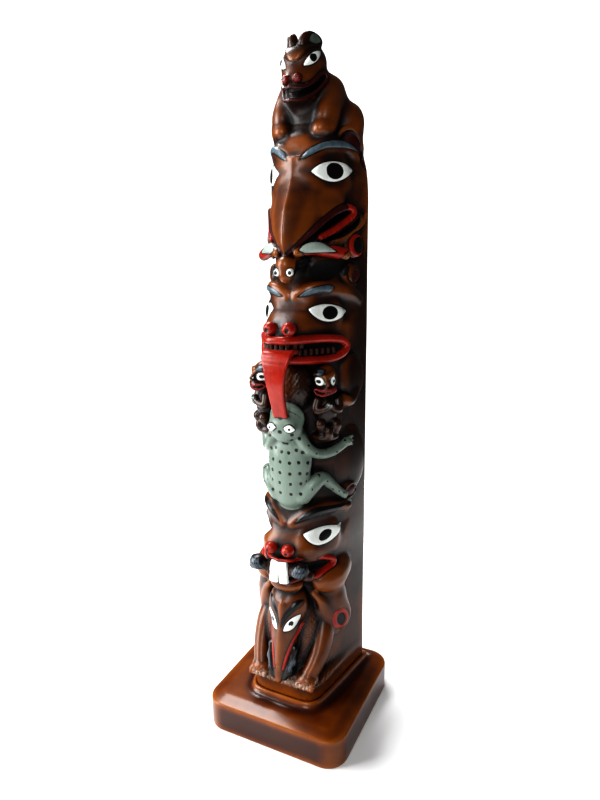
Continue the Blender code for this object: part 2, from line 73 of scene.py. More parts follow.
# %% [markdown]
# ## The camera
# The photograph was taken from about 350 mm away, with the pole turned so that its right side
# shows. So near a lens gives a strong perspective, and a camera that is placed by real distances
# gives the same one. Azimuth is measured from the front towards the right side.

# %% Place the camera
AZIMUTH, ELEVATION, ROLL = 26.36, 12.96, -0.58
DISTANCE = 348.9
AIM = (0.84, 0.0, 201.9)
FRAME_HEIGHT_PX = 800
FOCAL_PX = 600.96
SENSOR_HEIGHT = 36.0


def camera_axes():
    """The camera's own right, up and back directions."""
    azimuth, elevation, roll = [math.radians(angle) for angle in (AZIMUTH, ELEVATION, ROLL)]
    back = Vector((math.sin(azimuth) * math.cos(elevation),
                   -math.cos(azimuth) * math.cos(elevation),
                   math.sin(elevation)))
    right = Vector((math.cos(azimuth), math.sin(azimuth), 0))
    up = back.cross(right)
    turned_right = right * math.cos(roll) + up * math.sin(roll)
    turned_up = up * math.cos(roll) - right * math.sin(roll)
    return turned_right, turned_up, back


right, up, back = camera_axes()
camera_data = bpy.data.cameras.new("photo camera")
camera_data.sensor_fit = "VERTICAL"
camera_data.sensor_height = SENSOR_HEIGHT
camera_data.lens = FOCAL_PX / FRAME_HEIGHT_PX * SENSOR_HEIGHT
camera_data.clip_start = 0.01
camera = bpy.data.objects.new("photo camera", camera_data)
place = (Vector(AIM) + back * DISTANCE) * MM
camera.matrix_world = Matrix((
    (right.x, up.x, back.x, place.x),
    (right.y, up.y, back.y, place.y),
    (right.z, up.z, back.z, place.z),
    (0, 0, 0, 1),
))
bpy.context.scene.collection.objects.link(camera)
bpy.context.scene.camera = camera
print("lens", round(camera_data.lens, 1), "mm at", [round(value, 3) for value in place])

# %% [markdown]
# ## Digital clay
# A shape is a function that gives the distance to its surface, negative inside. Two shapes are
# joined by taking the smaller distance. A rounded minimum leaves a fillet between them, as a thumb
# does in clay. The pole is the same on both sides, so only the half with X above zero is filled.

# %% Eggs, limbs and blocks
CURVE_STEPS = 4


class Shape:
    """A distance function with the box that it matters in."""

    def __init__(self, low, high, distance):
        self.low = np.array(low, float)
        self.high = np.array(high, float)
        self.distance = distance


def curve_through(points, steps):
    """Rows of numbers on a smooth curve through the given rows."""
    rows = np.array([points[0]] + list(points) + [points[-1]], float)
    t = np.arange(steps)[:, None] / steps
    made = []
    for before, start, end, after in zip(rows, rows[1:], rows[2:], rows[3:]):
        made.append(0.5 * (2 * start + (end - before) * t
                           + (2 * before - 5 * start + 4 * end - after) * t ** 2
                           + (3 * start - before - 3 * end + after) * t ** 3))
    return np.vstack(made + [rows[-1:]])


def ball(centre, radii, turn=(0, 0, 0)):
    """An egg with three radii, turned by degrees about X, Y and Z."""
    axes = np.array(Euler([math.radians(angle) for angle in turn]).to_matrix()).T
    radii = np.broadcast_to(np.array(radii, float), 3)

    def distance(x, y, z):
        px, py, pz = x - centre[0], y - centre[1], z - centre[2]
        reach = 0
        steep = 0
        for axis, radius in zip(axes, radii):
            along = axis[0] * px + axis[1] * py + axis[2] * pz
            reach = reach + (along / radius) ** 2
            steep = steep + (along / radius ** 2) ** 2
        reach = np.sqrt(reach)
        return reach * (reach - 1) / np.maximum(np.sqrt(steep), 1e-4)

    size = np.max(radii)
    return Shape(np.array(centre) - size, np.array(centre) + size, distance)


def limb(joints):
    """A round limb along joints of x, y, z and radius."""
    rows = curve_through(joints, CURVE_STEPS)

    def distance(x, y, z):
        best = None
        for start, end in zip(rows, rows[1:]):
            step = end - start
            length = max(step[0] ** 2 + step[1] ** 2 + step[2] ** 2, 1e-9)
            px, py, pz = x - start[0], y - start[1], z - start[2]
            t = np.clip((px * step[0] + py * step[1] + pz * step[2]) / length, 0, 1)
            gap = np.sqrt((px - t * step[0]) ** 2 + (py - t * step[1]) ** 2 + (pz - t * step[2]) ** 2)
            gap = gap - (start[3] + t * step[3])
            best = gap if best is None else np.minimum(best, gap)
        return best

    size = rows[:, 3:].max()
    return Shape(rows[:, :3].min(0) - size, rows[:, :3].max(0) + size, distance)


def block(centre, half_sizes, rounding, turn=(0, 0, 0)):
    """A box with round edges."""
    axes = np.array(Euler([math.radians(angle) for angle in turn]).to_matrix()).T

    def distance(x, y, z):
        px, py, pz = x - centre[0], y - centre[1], z - centre[2]
        outside = 0
        inside = None
        for axis, half in zip(axes, half_sizes):
            over = np.abs(axis[0] * px + axis[1] * py + axis[2] * pz) - half + rounding
            outside = outside + np.maximum(over, 0) ** 2
            inside = over if inside is None else np.maximum(inside, over)
        return np.sqrt(outside) + np.minimum(inside, 0) - rounding

    size = np.linalg.norm(half_sizes)
    return Shape(np.array(centre) - size, np.array(centre) + size, distance)


def grown(shape, by):
    """The same shape with a thicker skin."""
    return Shape(shape.low - by, shape.high + by, lambda x, y, z: shape.distance(x, y, z) - by)


print("5 mm from the middle of a 2 mm ball:", ball((0, 0, 0), 2).distance(5, 0, 0), "mm to its surface")

# %% [markdown]
# An eye or a brow is an outline on a slanted side of the pole. It is drawn as seen square on from
# that side, and pushed through the clay as a prism, so its edge follows whatever bulges there. The
# two facings are the angles of the sides and of the faces, in degrees from the front.

# %% Outlines on a slanted side
SIDE_FACING = 61.2
FACE_FACING = 32.0
LEAF_STEPS = 5


def side_place(points, facing=SIDE_FACING):
    """Where points lie on the pole's slanted side, seen square on: along it, and up."""
    angle = math.radians(facing)
    points = np.atleast_2d(np.array(points, float))
    return np.column_stack([points[:, 0] * math.cos(angle) + points[:, 1] * math.sin(angle),
                            points[:, 2]])


def almond(inner, outer, top, bottom, facing=SIDE_FACING, depth=12, full=1.0):
    """An eye's outline between two corners, as a prism through the side of the pole."""
    angle = math.radians(facing)
    start, end = side_place([inner, outer], facing)
    axis = end - start
    length = np.linalg.norm(axis)
    axis = axis / length
    heights = []
    for point in (top, bottom):
        offset = side_place([point], facing)[0] - start
        t = np.clip((offset @ axis) / length, 0.2, 0.8)
        height = offset @ np.array([-axis[1], axis[0]])
        heights.append(height / (4 * t * (1 - t)) ** full)
    normal = np.array([math.sin(angle), -math.cos(angle)])
    middle = (np.array(inner) + np.array(outer)) / 2
    level = middle[:2] @ normal

    def distance(x, y, z):
        s = x * math.cos(angle) + y * math.sin(angle) - start[0]
        h = z - start[1]
        t = (s * axis[0] + h * axis[1]) / length
        across = h * axis[0] - s * axis[1]
        inside = np.clip(4 * t * (1 - t), 0, 1)
        bulge = inside ** full
        beyond = np.maximum(np.abs(t - 0.5) - 0.5, 0) * length
        slope_upper = heights[0] * 4 * (1 - 2 * t) / length
        slope_lower = heights[1] * 4 * (1 - 2 * t) / length
        upper = (across - heights[0] * bulge) / np.sqrt(1 + slope_upper ** 2)
        lower = (heights[1] * bulge - across) / np.sqrt(1 + slope_lower ** 2)
        flat = np.maximum(upper, lower)
        flat = np.where(beyond > 0, np.sqrt(np.maximum(flat, 0) ** 2 + beyond ** 2), flat)
        off = np.abs(x * normal[0] + y * normal[1] - level) - depth
        return np.maximum(flat, off)

    reach = np.array([length / 2 + 3, length / 2 + 3, max(abs(h) for h in heights) + length / 2])
    return Shape(middle - reach, middle + reach, distance)


def oval(centre, radii, tilt=0, facing=SIDE_FACING, depth=12):
    """A flat oval seen square on from one side of the pole, as a prism."""
    angle = math.radians(facing)
    turn = math.radians(tilt)
    place = side_place([centre], facing)[0]
    normal = np.array([math.sin(angle), -math.cos(angle)])
    level = np.array(centre[:2]) @ normal

    def distance(x, y, z):
        s = x * math.cos(angle) + y * math.sin(angle) - place[0]
        h = z - place[1]
        a = (s * math.cos(turn) + h * math.sin(turn)) / radii[0]
        b = (h * math.cos(turn) - s * math.sin(turn)) / radii[1]
        reach = np.sqrt(a * a + b * b)
        steep = np.sqrt((a / radii[0]) ** 2 + (b / radii[1]) ** 2)
        off = np.abs(x * normal[0] + y * normal[1] - level) - depth
        return np.maximum(reach * (reach - 1) / np.maximum(steep, 1e-4), off)

    size = max(radii) + 1
    return Shape(np.array(centre) - size, np.array(centre) + size, distance)


def outline_distance(rim, s, h):
    """The distance to a closed outline in a plane, negative inside."""
    nearest = np.full(s.shape, 1e9)
    inside = np.zeros(s.shape, bool)
    for a, b in zip(rim, np.roll(rim, -1, axis=0)):
        step = b - a
        t = np.clip(((s - a[0]) * step[0] + (h - a[1]) * step[1]) / max(step @ step, 1e-9), 0, 1)
        gap = (s - a[0] - t * step[0]) ** 2 + (h - a[1] - t * step[1]) ** 2
        nearest = np.minimum(nearest, gap)
        crosses = (a[1] > h) != (b[1] > h)
        rise = step[1] if abs(step[1]) > 1e-9 else 1e-9
        inside ^= crosses & (s < a[0] + (h - a[1]) / rise * step[0])
    return np.sqrt(nearest) * np.where(inside, -1, 1)


def leaf(upper, lower, facing=SIDE_FACING, depth=12):
    """A crescent between two edges that share their end points, as a prism."""
    angle = math.radians(facing)
    rim = np.vstack([curve_through(side_place(edge, facing), LEAF_STEPS)[::way]
                     for edge, way in ((upper, 1), (lower, -1))])
    normal = np.array([math.sin(angle), -math.cos(angle)])
    points = np.array(list(upper) + list(lower), float)
    level = (points[:, :2] @ normal).mean()

    def distance(x, y, z):
        s = x * math.cos(angle) + y * math.sin(angle)
        flat = outline_distance(rim, *np.broadcast_arrays(s, z + 0 * s))
        return np.maximum(flat, np.abs(x * normal[0] + y * normal[1] - level) - depth)

    return Shape(points.min(0) - 2, points.max(0) + 2, distance)


print("outlines are drawn", FACE_FACING, "and", SIDE_FACING, "degrees from the front")

# %% [markdown]
# The column itself is a loft. At each height its plan is a narrow front, two slanted sides and a
# flat back, so its distance is worked out slice by slice on a coarse grid and read back smoothly.

# %% A body lofted through level plans
LOFT_STEP = 1.0
ARC_STEPS = 14


def wedge_plan(front, side, weight, back_half, back_y):
    """Half of the column's plan: a conic arc from the back corner to the middle of the front."""
    shoulder = side + (back_half - side) * front / back_y
    t = np.linspace(0, 1, ARC_STEPS + 1)
    shares = np.array([(1 - t) ** 2, 2 * weight * t * (1 - t), t * t])
    shares = shares / shares.sum(0)
    x = shares[0] * back_half + shares[1] * shoulder
    y = shares[0] * back_y + (shares[1] + shares[2]) * front
    return np.column_stack([x, y])


def loft(rows, plan, low, high, step=LOFT_STEP):
    """A body whose plan at each height comes from rows of numbers, read between the rows."""
    rows = np.array(sorted(rows), float)
    axes = [np.arange(start, end + step, step) for start, end in zip(low, high)]
    xs, ys = np.meshgrid(axes[0], axes[1], indexing="ij")
    table = np.zeros((len(axes[0]), len(axes[1]), len(axes[2])), np.float32)
    for index, height in enumerate(axes[2]):
        values = [np.interp(height, rows[:, 0], column) for column in rows[:, 1:].T]
        half = plan(*values)
        table[:, :, index] = outline_distance(np.vstack([half, half[::-1] * [-1, 1]]), xs, ys)
    top, bottom = rows[-1, 0], rows[0, 0]

    def distance(x, y, z):
        x, y, z = np.broadcast_arrays(x, y, z)
        found = read_grid(table, axes, x, y, z)
        return np.maximum(found, np.maximum(z - top, bottom - z))

    return Shape((0, low[1], bottom), (high[0], high[1], top), distance)


def read_grid(table, axes, x, y, z):
    """Reads a table of numbers between its grid points."""
    cells = []
    for values, axis in zip((x, y, z), axes):
        place = (values - axis[0]) / (axis[1] - axis[0])
        index = np.clip(place.astype(np.int32), 0, len(axis) - 2)
        cells.append((index, np.clip(place - index, 0, 1).astype(np.float32)))
    (i, fi), (j, fj), (k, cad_) = cells
    low = (table[i, j, k] * (1 - fi) + table[i + 1, j, k] * fi) * (1 - fj)
    low = low + (table[i, j + 1, k] * (1 - fi) + table[i + 1, j + 1, k] * fi) * fj
    high = (table[i, j, k + 1] * (1 - fi) + table[i + 1, j, k + 1] * fi) * (1 - fj)
    high = high + (table[i, j + 1, k + 1] * (1 - fi) + table[i + 1, j + 1, k + 1] * fi) * fj
    return low * (1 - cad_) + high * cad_


print("points in one slice's outline:", 2 * (ARC_STEPS + 1))

# %% [markdown]
# The clay holds the distances, and the paint keeps a list of the shapes that each colour covers.
# A brush stroke is nothing but a shape, so the same one that raises an eye can also paint it.

# %% The clay and the paint box
GRID_STEP = 0.55
CLAY_MARGIN = 2.0
FAR = 12.0


class Clay:
    """Half of the pole as a grid of distances, with X from the middle plane to the right."""

    def __init__(self, low, high, step):
        self.axes = [np.arange(start, end + step, step) for start, end in zip(low, high)]
        self.field = np.full([len(axis) for axis in self.axes], FAR, np.float32)
        self.step = step

    def window(self, shape, margin):
        """The part of the grid round a shape, and the coordinates there."""
        cuts = []
        for axis, low, high in zip(self.axes, shape.low, shape.high):
            start = int(np.clip(np.searchsorted(axis, low - margin) - 1, 0, len(axis) - 2))
            end = int(np.clip(np.searchsorted(axis, high + margin) + 1, start + 2, len(axis)))
            cuts.append(slice(start, end))
        x, y, z = [axis[cut] for axis, cut in zip(self.axes, cuts)]
        return tuple(cuts), x[:, None, None], y[None, :, None], z[None, None, :]

    def add(self, shape, blend=1.5, across=False):
        """Presses a shape onto the clay with a fillet, and its mirror image too near the middle."""
        cuts, x, y, z = self.window(shape, blend + CLAY_MARGIN)
        found = shape.distance(x, y, z)
        if across:
            found = rounded_minimum(found, shape.distance(-x, y, z), blend)
        self.field[cuts] = rounded_minimum(self.field[cuts], found, blend)

    def cut(self, shape, blend=0.8):
        """Takes a shape out of the clay."""
        cuts, x, y, z = self.window(shape, blend + CLAY_MARGIN)
        self.field[cuts] = -rounded_minimum(-self.field[cuts], shape.distance(x, y, z), blend)

    def swell(self, shape, height, edge=1.0):
        """Raises the surface inside a shape, or sinks it where the height is negative."""
        cuts, x, y, z = self.window(shape, edge)
        inside = np.clip(0.5 - shape.distance(x, y, z) / edge, 0, 1)
        self.field[cuts] -= height * inside * inside * (3 - 2 * inside)

    def groove(self, shape, depth=0.5, width=0.5):
        """Engraves a line along the edge of a shape."""
        cuts, x, y, z = self.window(shape, width * 3)
        self.field[cuts] += depth * np.exp(-(shape.distance(x, y, z) / width) ** 2)

    def hatch(self, shape, depth, across, along):
        """Scratches short wavy strokes into the surface inside a shape, like carved fur."""
        cuts, x, y, z = self.window(shape, 1.0)
        inside = np.clip(-shape.distance(x, y, z) / 1.5, 0, 1)
        side = x + 0.8 * y
        wave = np.sin(2 * math.pi * side / across + 1.9 * np.sin(2 * math.pi * z / along + side))
        breaks = np.sin(2 * math.pi * z / along + 2.4 * np.sin(side * 1.7))
        self.field[cuts] += depth * inside * (0.6 * wave + 0.4 * breaks)

    def soften(self, passes):
        """Takes the facets off the clay by averaging neighbouring distances."""
        for _ in range(passes):
            for axis in range(3):
                before = np.roll(self.field, 1, axis)
                after = np.roll(self.field, -1, axis)
                edge = [slice(None)] * 3
                edge[axis] = 0
                before[tuple(edge)] = after[tuple(edge)] if axis == 0 else self.field[tuple(edge)]
                edge[axis] = -1
                after[tuple(edge)] = self.field[tuple(edge)]
                self.field = ((before + after) / 4 + self.field / 2).astype(np.float32)


def rounded_minimum(first, second, blend):
    overlap = np.maximum(blend - np.abs(first - second), 0) / blend
    return (np.minimum(first, second) - overlap * overlap * blend / 4).astype(np.float32)


paint = {}


def brush(colour, shape, grow=0.0, within=None):
    """Notes a stroke: the shape, how far it is grown and the shape that it must stay within."""
    paint.setdefault(colour, []).append((shape, grow, within))
    return shape


clay = Clay((0.0, -36.0, pole_low[2] - 2), (33.5, pole_high[1] + 2, pole_high[2] + 4), GRID_STEP)
print("clay grid", clay.field.shape, "cells of", GRID_STEP, "mm")

# %% [markdown]
# ## The column
# The sculptor kept the animals inside one tapering column. Each row below gives the plan at one
# height: how far forward the front is, how wide the column is in the middle of the sides, how
# square its shoulders are, and near the top also half the width of its back. Where an animal has
# its muzzle the plan swells, and between the animals it draws back.

# %% Carve the column
BACK_Y = pole_high[1]
BACK_HALF = 30.2
FOOT_PLAN = (-26.5, 25.2, 6, BACK_HALF)
COLUMN = [
    (20, *FOOT_PLAN), (33, *FOOT_PLAN),
    (37, -22, 22.5, 2.5), (44, -18, 22, 2), (60, -14.5, 21, 2),
    (82, -13, 20.5, 2), (92, -13, 20.5, 1.8), (97, -19, 22.5, 1.3),
    (104, -21.5, 23.6, 1.3), (109, -21.5, 24.4, 1.5),
    (114, -24, 24.6, 1.7), (119, -23.5, 24.2, 1.9),
    (124, -21, 23.4, 2.1), (129, -17.5, 22.4, 2.2),
    (134, -16, 22, 2), (140, -14, 21.6, 2), (145, -9, 21, 2),
    (166, -8, 20.5, 2), (196, -8, 20, 2), (214, -6, 19.5, 2),
    (225, -8, 19.5, 1.8), (229, -18, 20.5, 1.3), (233, -19, 20.4, 1.3),
    (238, -21.5, 20.8, 1.2), (242, -23.5, 20.8, 1.2),
    (246, -22, 20.6, 1.6), (250, -16.5, 19.6, 2.2),
    (254, -12, 19, 2.6), (259, -9, 18.6, 2.6),
    (264, -7.8, 18.4, 2), (268, -6, 18.2, 2), (272, -2, 17, 2),
    (278, 1, 15.5, 2), (290, 1, 15.5, 2), (300, 0, 15.5, 2),
    (312, -1, 16, 2.2), (322, -4, 16.4, 2.6, 29.8), (330, -3, 16.6, 2.8, 28.8),
    (337, -0.6, 14, 2.2, 27), (342, 1, 14, 2, 26.2), (346, 3, 13.4, 1.8, 25.2),
    (350, 7, 12.5, 1.5, 24),
]


def column_plan(front, side, weight, back_half):
    return wedge_plan(front, side, weight, back_half, BACK_Y)


column = loft([(*row, BACK_HALF)[:5] for row in COLUMN], column_plan, (-1, -36, 20), (34, 36, 352))
clay.add(column, 1)
clay.soften(4)
print("column rows:", len(COLUMN))

# %% [markdown]
# ## What the animals share
# Every animal has almond eyes, crescent brows, round nostrils and rolled lips. Each is pressed on
# or raised a little, gets a scribed line round it, and is then painted with the same shape.

# %% Eyes, brows, lips and nostrils
LINE_DEPTH = 0.4
LINE_WIDTH = 0.6


def carved_eye(inner, outer, top, bottom, pupil, radii, tilt=0, facing=FACE_FACING, depth=14):
    white = almond(inner, outer, top, bottom, facing, depth, 0.85)
    clay.swell(white, 0.55, 1.6)
    clay.groove(white, LINE_DEPTH, LINE_WIDTH)
    brush("white", white)
    brush("black", oval(pupil, radii, tilt, facing, depth))


def carved_brow(colour, upper, lower, facing=FACE_FACING, depth=12):
    crescent = leaf(upper, lower, facing, depth)
    clay.swell(crescent, 0.35, 1)
    clay.groove(crescent, LINE_DEPTH, LINE_WIDTH)
    brush(colour, crescent, -0.2)


def press(colour, shape, blend, grow):
    """Presses a shape onto the clay and paints it."""
    clay.add(shape, blend)
    brush(colour, shape, grow)


def carved_lip(colour, joints, blend=0.6, grow=0.25):
    press(colour, limb(joints), blend, grow)


def ringed_joint(ring, centre, sink):
    """A red ring with a sunk black middle, as at a wing joint or a knee."""
    clay.groove(ring, LINE_DEPTH, LINE_WIDTH)
    clay.swell(centre, -sink, 1.2)
    brush("red", ring)
    brush("black", centre)


def nostril(centre, radii, pit, pit_radius, colour="red"):
    """A ball with a pit drilled into its front."""
    bead = ball(centre, radii)
    clay.add(bead, 0.8)
    hole = ball(pit, pit_radius)
    clay.cut(hole, 0.4)
    brush(colour, bead, 0.2)
    brush("black", hole, 0.1)


print("scribed lines are", LINE_DEPTH, "mm deep")


# %% [markdown]
# ## The bear cub on top
# The cub sits with its back flush with the pole's flat back, its forelegs on the bird's head. Its
# body is a loft like the column. Limbs and muscles are eggs and tapered limbs pressed on with wide
# fillets, which gives the smooth look of the casting.

# %% Carve the bear cub
CUB_BODY = [
    (341, 10, 17, 1.3, 25.6), (351, 13, 16, 1.2, 25), (357, 13, 15, 1.1, 22.4),
    (363, 13, 13.5, 1, 18.6), (370, 13, 11.5, 1, 14.6), (376, 15, 9.5, 1, 11),
    (381, 19, 8, 1, 7.5),
]
clay.add(loft(CUB_BODY, column_plan, (-1, -4, 340), (34, 36, 384)), 2.5)
clay.add(ball((0, 17, 372), (10.5, 11, 10)), 4)
clay.add(ball((0, 12, 381.6), (11.8, 9.8, 11), (-4, 0, 0)), 4)
clay.add(ball((0, 6.6, 380.6), (10.6, 8, 8.6)), 4)
clay.add(ball((0, 6.6, 374), (9.4, 11.4, 7), (16, 0, 0)), 4)
clay.add(ball((0, 6.4, 366.2), (8.8, 10.8, 3.6), (22, 0, 0)), 1.5)
clay.add(ball((0, 9, 366), (9, 9, 8)), 3)
clay.add(ball((0, 17, 356), (13, 10, 13)), 5)
clay.add(ball((9, 18, 369), (7.6, 9, 9), (0, 0, -10)), 4, True)
clay.add(ball((12.6, 23, 360), (8.4, 9, 12)), 4)
clay.add(limb([(12, 20, 370, 6.4), (12.6, 15.8, 363.4, 7), (12.9, 12.2, 356.6, 6.9),
    (12.6, 10.2, 350.8, 6)]), 3)
clay.add(ball((11.6, 8, 348.6), (5.6, 6, 4.4), (8, 0, -14)), 2.2)
clay.add(ball((19.6, 26.5, 353.6), (8.2, 8.6, 10.8)), 3)
# Painted shade: the stain is darkened in the chest between the forelegs and over the back of the head,
# where shade falls.
brush("painted_shade", ball((0, 4, 357), (8.5, 10, 9.5)), 1)
brush("painted_shade", ball((0, 12, 388), (14, 14, 12)))
# The brow's outline runs through the head, so its box is cut short behind the face.
forehead = leaf([(-4, 0, 379.8), (-4, 0, 399), (13, 0, 399), (13, 0, 390.6)],
    [(-4, 0, 379.8), (1.5, 0, 380.2), (4.2, 0, 382.2), (6.8, 0, 385.8), (9.2, 0, 388.6),
     (13, 0, 390.6)], 0, 12)
forehead.high = np.array([13, 6, 399])
clay.swell(forehead, 0.9, 1)
clay.groove(forehead, 0.3, 0.6)
clay.add(ball((5.8, 8.2, 391.4), (6.2, 3.1, 4), (0, 0, 56)), 1.5)
clay.add(limb([(2.8, 3.2, 389.6, 2.5), (3.6, 4.4, 392.6, 2.6), (5.2, 7.2, 393.8, 2.2),
    (7.2, 10.6, 393.2, 1.4), (8, 12.2, 390.6, 1)]), 1.2)
cub_ear = leaf([(4.6, 5, 390.6), (5.2, 6.4, 393.6), (6.6, 9, 394.6), (8.2, 12, 391.4)],
    [(4.6, 5, 390.6), (6.4, 8.4, 389.6), (8.2, 12, 391.4)], 56, 4)
clay.swell(cub_ear, -0.5, 1)
brush("stippled_grey", cub_ear)
carved_eye((5.7, -1.3, 377.8), (10.6, 8.6, 386.2), (7.9, 2.5, 383.7), (9.2, 2, 378.9),
    (9.2, 2.4, 381.8), (2.1, 2), 40, 45, 7)
mouth = limb([(0, -6, 364.2, 2), (3.9, -3.8, 364.1, 2.1), (7, 1, 366.2, 2.1), (9.6, 5.6, 369.8, 2.1),
    (11.4, 9.2, 373.5, 1.4)])
clay.cut(mouth, 0.4)
brush("shadow", mouth, 0.35)
CUB_LIP = [(0, -6.6, 367.4, 0.8), (4.2, -4.4, 367, 0.8), (7.4, 0.4, 368.8, 0.85), (9.9, 4, 371.8, 0.85),
    (11.9, 8, 375.6, 0.85), (13.3, 10.5, 375.2, 0.85), (12.9, 10.2, 372.3, 0.85),
    (10.3, 5.9, 367.2, 0.85), (7.3, 0.6, 363.3, 0.85), (3.6, -4.8, 361.1, 0.8), (0, -6.7, 361, 0.8)]
carved_lip("dark_red", CUB_LIP, 0.4, 0.3)
nostril((3.3, -4.6, 371.4), (2.1, 2.2, 2.1), (3.8, -6.6, 371.3), 0.7, "bead_red")
print("cub carved")

# %% [markdown]
# ## The bird
# The beak is its own loft: two bowed flanks that meet in a crisp ridge. The plan at each height
# runs from the rim of the mouth to the ridge, so the rim's line is built into it.

# %% Carve the bird's head
BEAK = [
    (282.4, -14.6, 0.5, -14.4, 0.6, -13.8), (284, -15.8, 1.4, -15.1, 1.9, -13.4),
    (290, -17.3, 4.8, -15.4, 6.8, -10.8), (295, -17.5, 7.4, -14.2, 10.8, -7.6),
    (297.4, -17.3, 8.4, -13.4, 12.6, -5.6), (302, -16.4, 10, -11.6, 16.1, -0.2),
    (305.4, -15.3, 11.2, -10.4, 18.9, 3.9), (308.5, -14, 12.2, -8.2, 21.6, 9.2),
    (311.5, -12.4, 12.8, -6.6, 22.4, 13), (317, -8.8, 13.2, -4.2, 21.4, 14),
    (324, -5.8, 12.8, -2.6, 19, 13), (330, -4.6, 11.4, -3.2, 16.4, 11),
    (334, -4.6, 8, -4, 14, 6),
]
BEAK_ROOT = 9


def beak_plan(ridge_y, bow_x, bow_y, rim_x, rim_y):
    t = np.linspace(0, 1, ARC_STEPS + 1)[:, None]
    flank = ((1 - t) ** 2 * np.array([rim_x, rim_y]) + 2 * t * (1 - t) * np.array([bow_x, bow_y])
             + t * t * np.array([0, ridge_y]))
    return np.vstack([[[rim_x * 0.6, rim_y + BEAK_ROOT]], flank])


clay.add(loft(BEAK, beak_plan, (-1, -20, 281), (32, 30, 336), 0.7), 2.4)
clay.add(limb([(18, 6.6, 288, 3), (20, 10, 292, 3.6), (23.2, 16.4, 297, 3.6), (26.4, 22.6, 303, 3.2)]),
    2.5)
clay.add(limb([(1.5, 1.4, 332.4, 1.2), (8, 2.6, 336.6, 2.2), (13.6, 5.6, 339.4, 2.7),
    (18.6, 12.4, 340.2, 2.9), (21.8, 18.4, 339.6, 2.8), (24.4, 24.8, 336.2, 2.2)]), 4)
clay.add(ball((14.8, 12.3, 325.5), (10.5, 5.4, 11.5), (0, 0, 32)), 4)
clay.swell(almond((4, -3, 327), (27, 24, 328), (17.9, 8, 335.5), (17.6, 7.4, 318.5)), -0.7, 5)
carved_eye((9, -0.6, 326.4), (23.6, 21.8, 328.7), (16.9, 10.3, 332), (17, 8.7, 321.6),
    (17.5, 10.3, 327), (5, 4.2))
carved_brow("blue_grey",
    [(1.9, 0, 332.4), (4.2, 0.4, 335.4), (7.2, 0.6, 337.8), (14.9, -0.8, 340.6), (17.9, 2.6, 341.9),
     (20.7, 8, 342.9), (24.4, 15.8, 342.2), (28.1, 24.2, 337.1)],
    [(1.9, 0, 332.4), (5.4, 0.6, 333.4), (9.8, 0.6, 335.2), (16.1, 2.2, 337.9), (20.6, 8.3, 338.9),
     (24.3, 14.6, 339), (26.5, 19.3, 338.2), (28.1, 24.2, 337.1)])
mouth_slot = leaf([(11, -8.8, 291.2), (15.4, -1.1, 298.2), (18.7, 5, 302.4), (22, 10.9, 305.8),
     (24.6, 15.4, 306.4)],
    [(11, -8.8, 291.2), (16.5, 0.9, 295.6), (20.2, 7.7, 300.2), (23.3, 13, 303.8), (24.6, 15.4, 306.4)],
     SIDE_FACING, 6)
clay.cut(mouth_slot, 0.5)
brush("shadow", mouth_slot, 0.3)
carved_lip("dark_red", [(1.2, -14, 284.4, 1), (6.8, -10.2, 290, 1.3), (12.6, -5, 296.6, 1.6),
    (17.6, 3.6, 303.8, 1.8), (21.4, 10.2, 307.6, 1.9), (23.6, 14.2, 308.8, 1.8)], 0.5)
carved_lip("red", [(23.8, 14.4, 308.9, 1.8), (25.6, 17.6, 308, 1.8), (25.9, 18.2, 305.4, 1.8),
    (23.6, 14.2, 301.8, 1.8), (19.6, 7, 297, 1.8), (14.8, -1.4, 292.6, 1.7)], 0.5)
jaw_shadow = leaf([(15, -1.8, 290.4), (20.7, 8.5, 294.8), (26.2, 18.6, 301.4), (27.9, 22, 305.6)],
    [(15, -1.8, 290.4), (21.2, 9.2, 293.2), (26.8, 19.8, 299.8), (27.9, 22, 305.6)], SIDE_FACING, 7)
clay.cut(jaw_shadow, 0.5)
brush("shadow", jaw_shadow, 0.1)
clay.add(limb([(20.2, 8, 288.6, 1), (21.6, 10.4, 292, 1.2), (24.8, 16, 295.6, 1.2),
    (28.6, 23.4, 300, 1.2), (30.2, 26.6, 306, 1)]), 1.2)
clay.add(ball((21, 25, 341), (6, 6.5, 7.5)), 2)
clay.add(limb([(16.8, 15.4, 343, 1.4), (18.6, 16.8, 347.4, 1.8), (21.6, 19.8, 349.8, 2),
    (24.2, 24.8, 347.4, 2), (25.6, 28.2, 342, 1.6), (26, 30, 336, 0.9)]), 1)
bird_ear = leaf([(17.6, 16.2, 343.8), (19.8, 17.6, 347.4), (22.2, 20.4, 348.6), (24.6, 24.8, 346),
     (26.4, 28.2, 339.4), (27.8, 30.6, 330)],
    [(17.6, 16.2, 343.8), (21, 19.2, 342.6), (23.4, 22.4, 340.4), (25.2, 25.8, 336.4), (26.6, 29, 332),
     (27.8, 30.6, 330)], 50, 7)
clay.swell(bird_ear, -0.8, 1)
clay.groove(bird_ear, 0.3, 0.5)
brush("dark_red", bird_ear)
# Painted highlight: the stain is lightened on the cheek, the forehead and the beak's flank, where light
# falls.
brush("painted_highlight", ball((17, 6, 309), (7, 9, 8)))
brush("painted_highlight", ball((0, -4, 341), (8, 8, 5)))
brush("painted_highlight", limb([(6, -12, 290, 2), (12, -8, 306, 3), (13, -4, 318, 2)]))
print("bird's head carved")
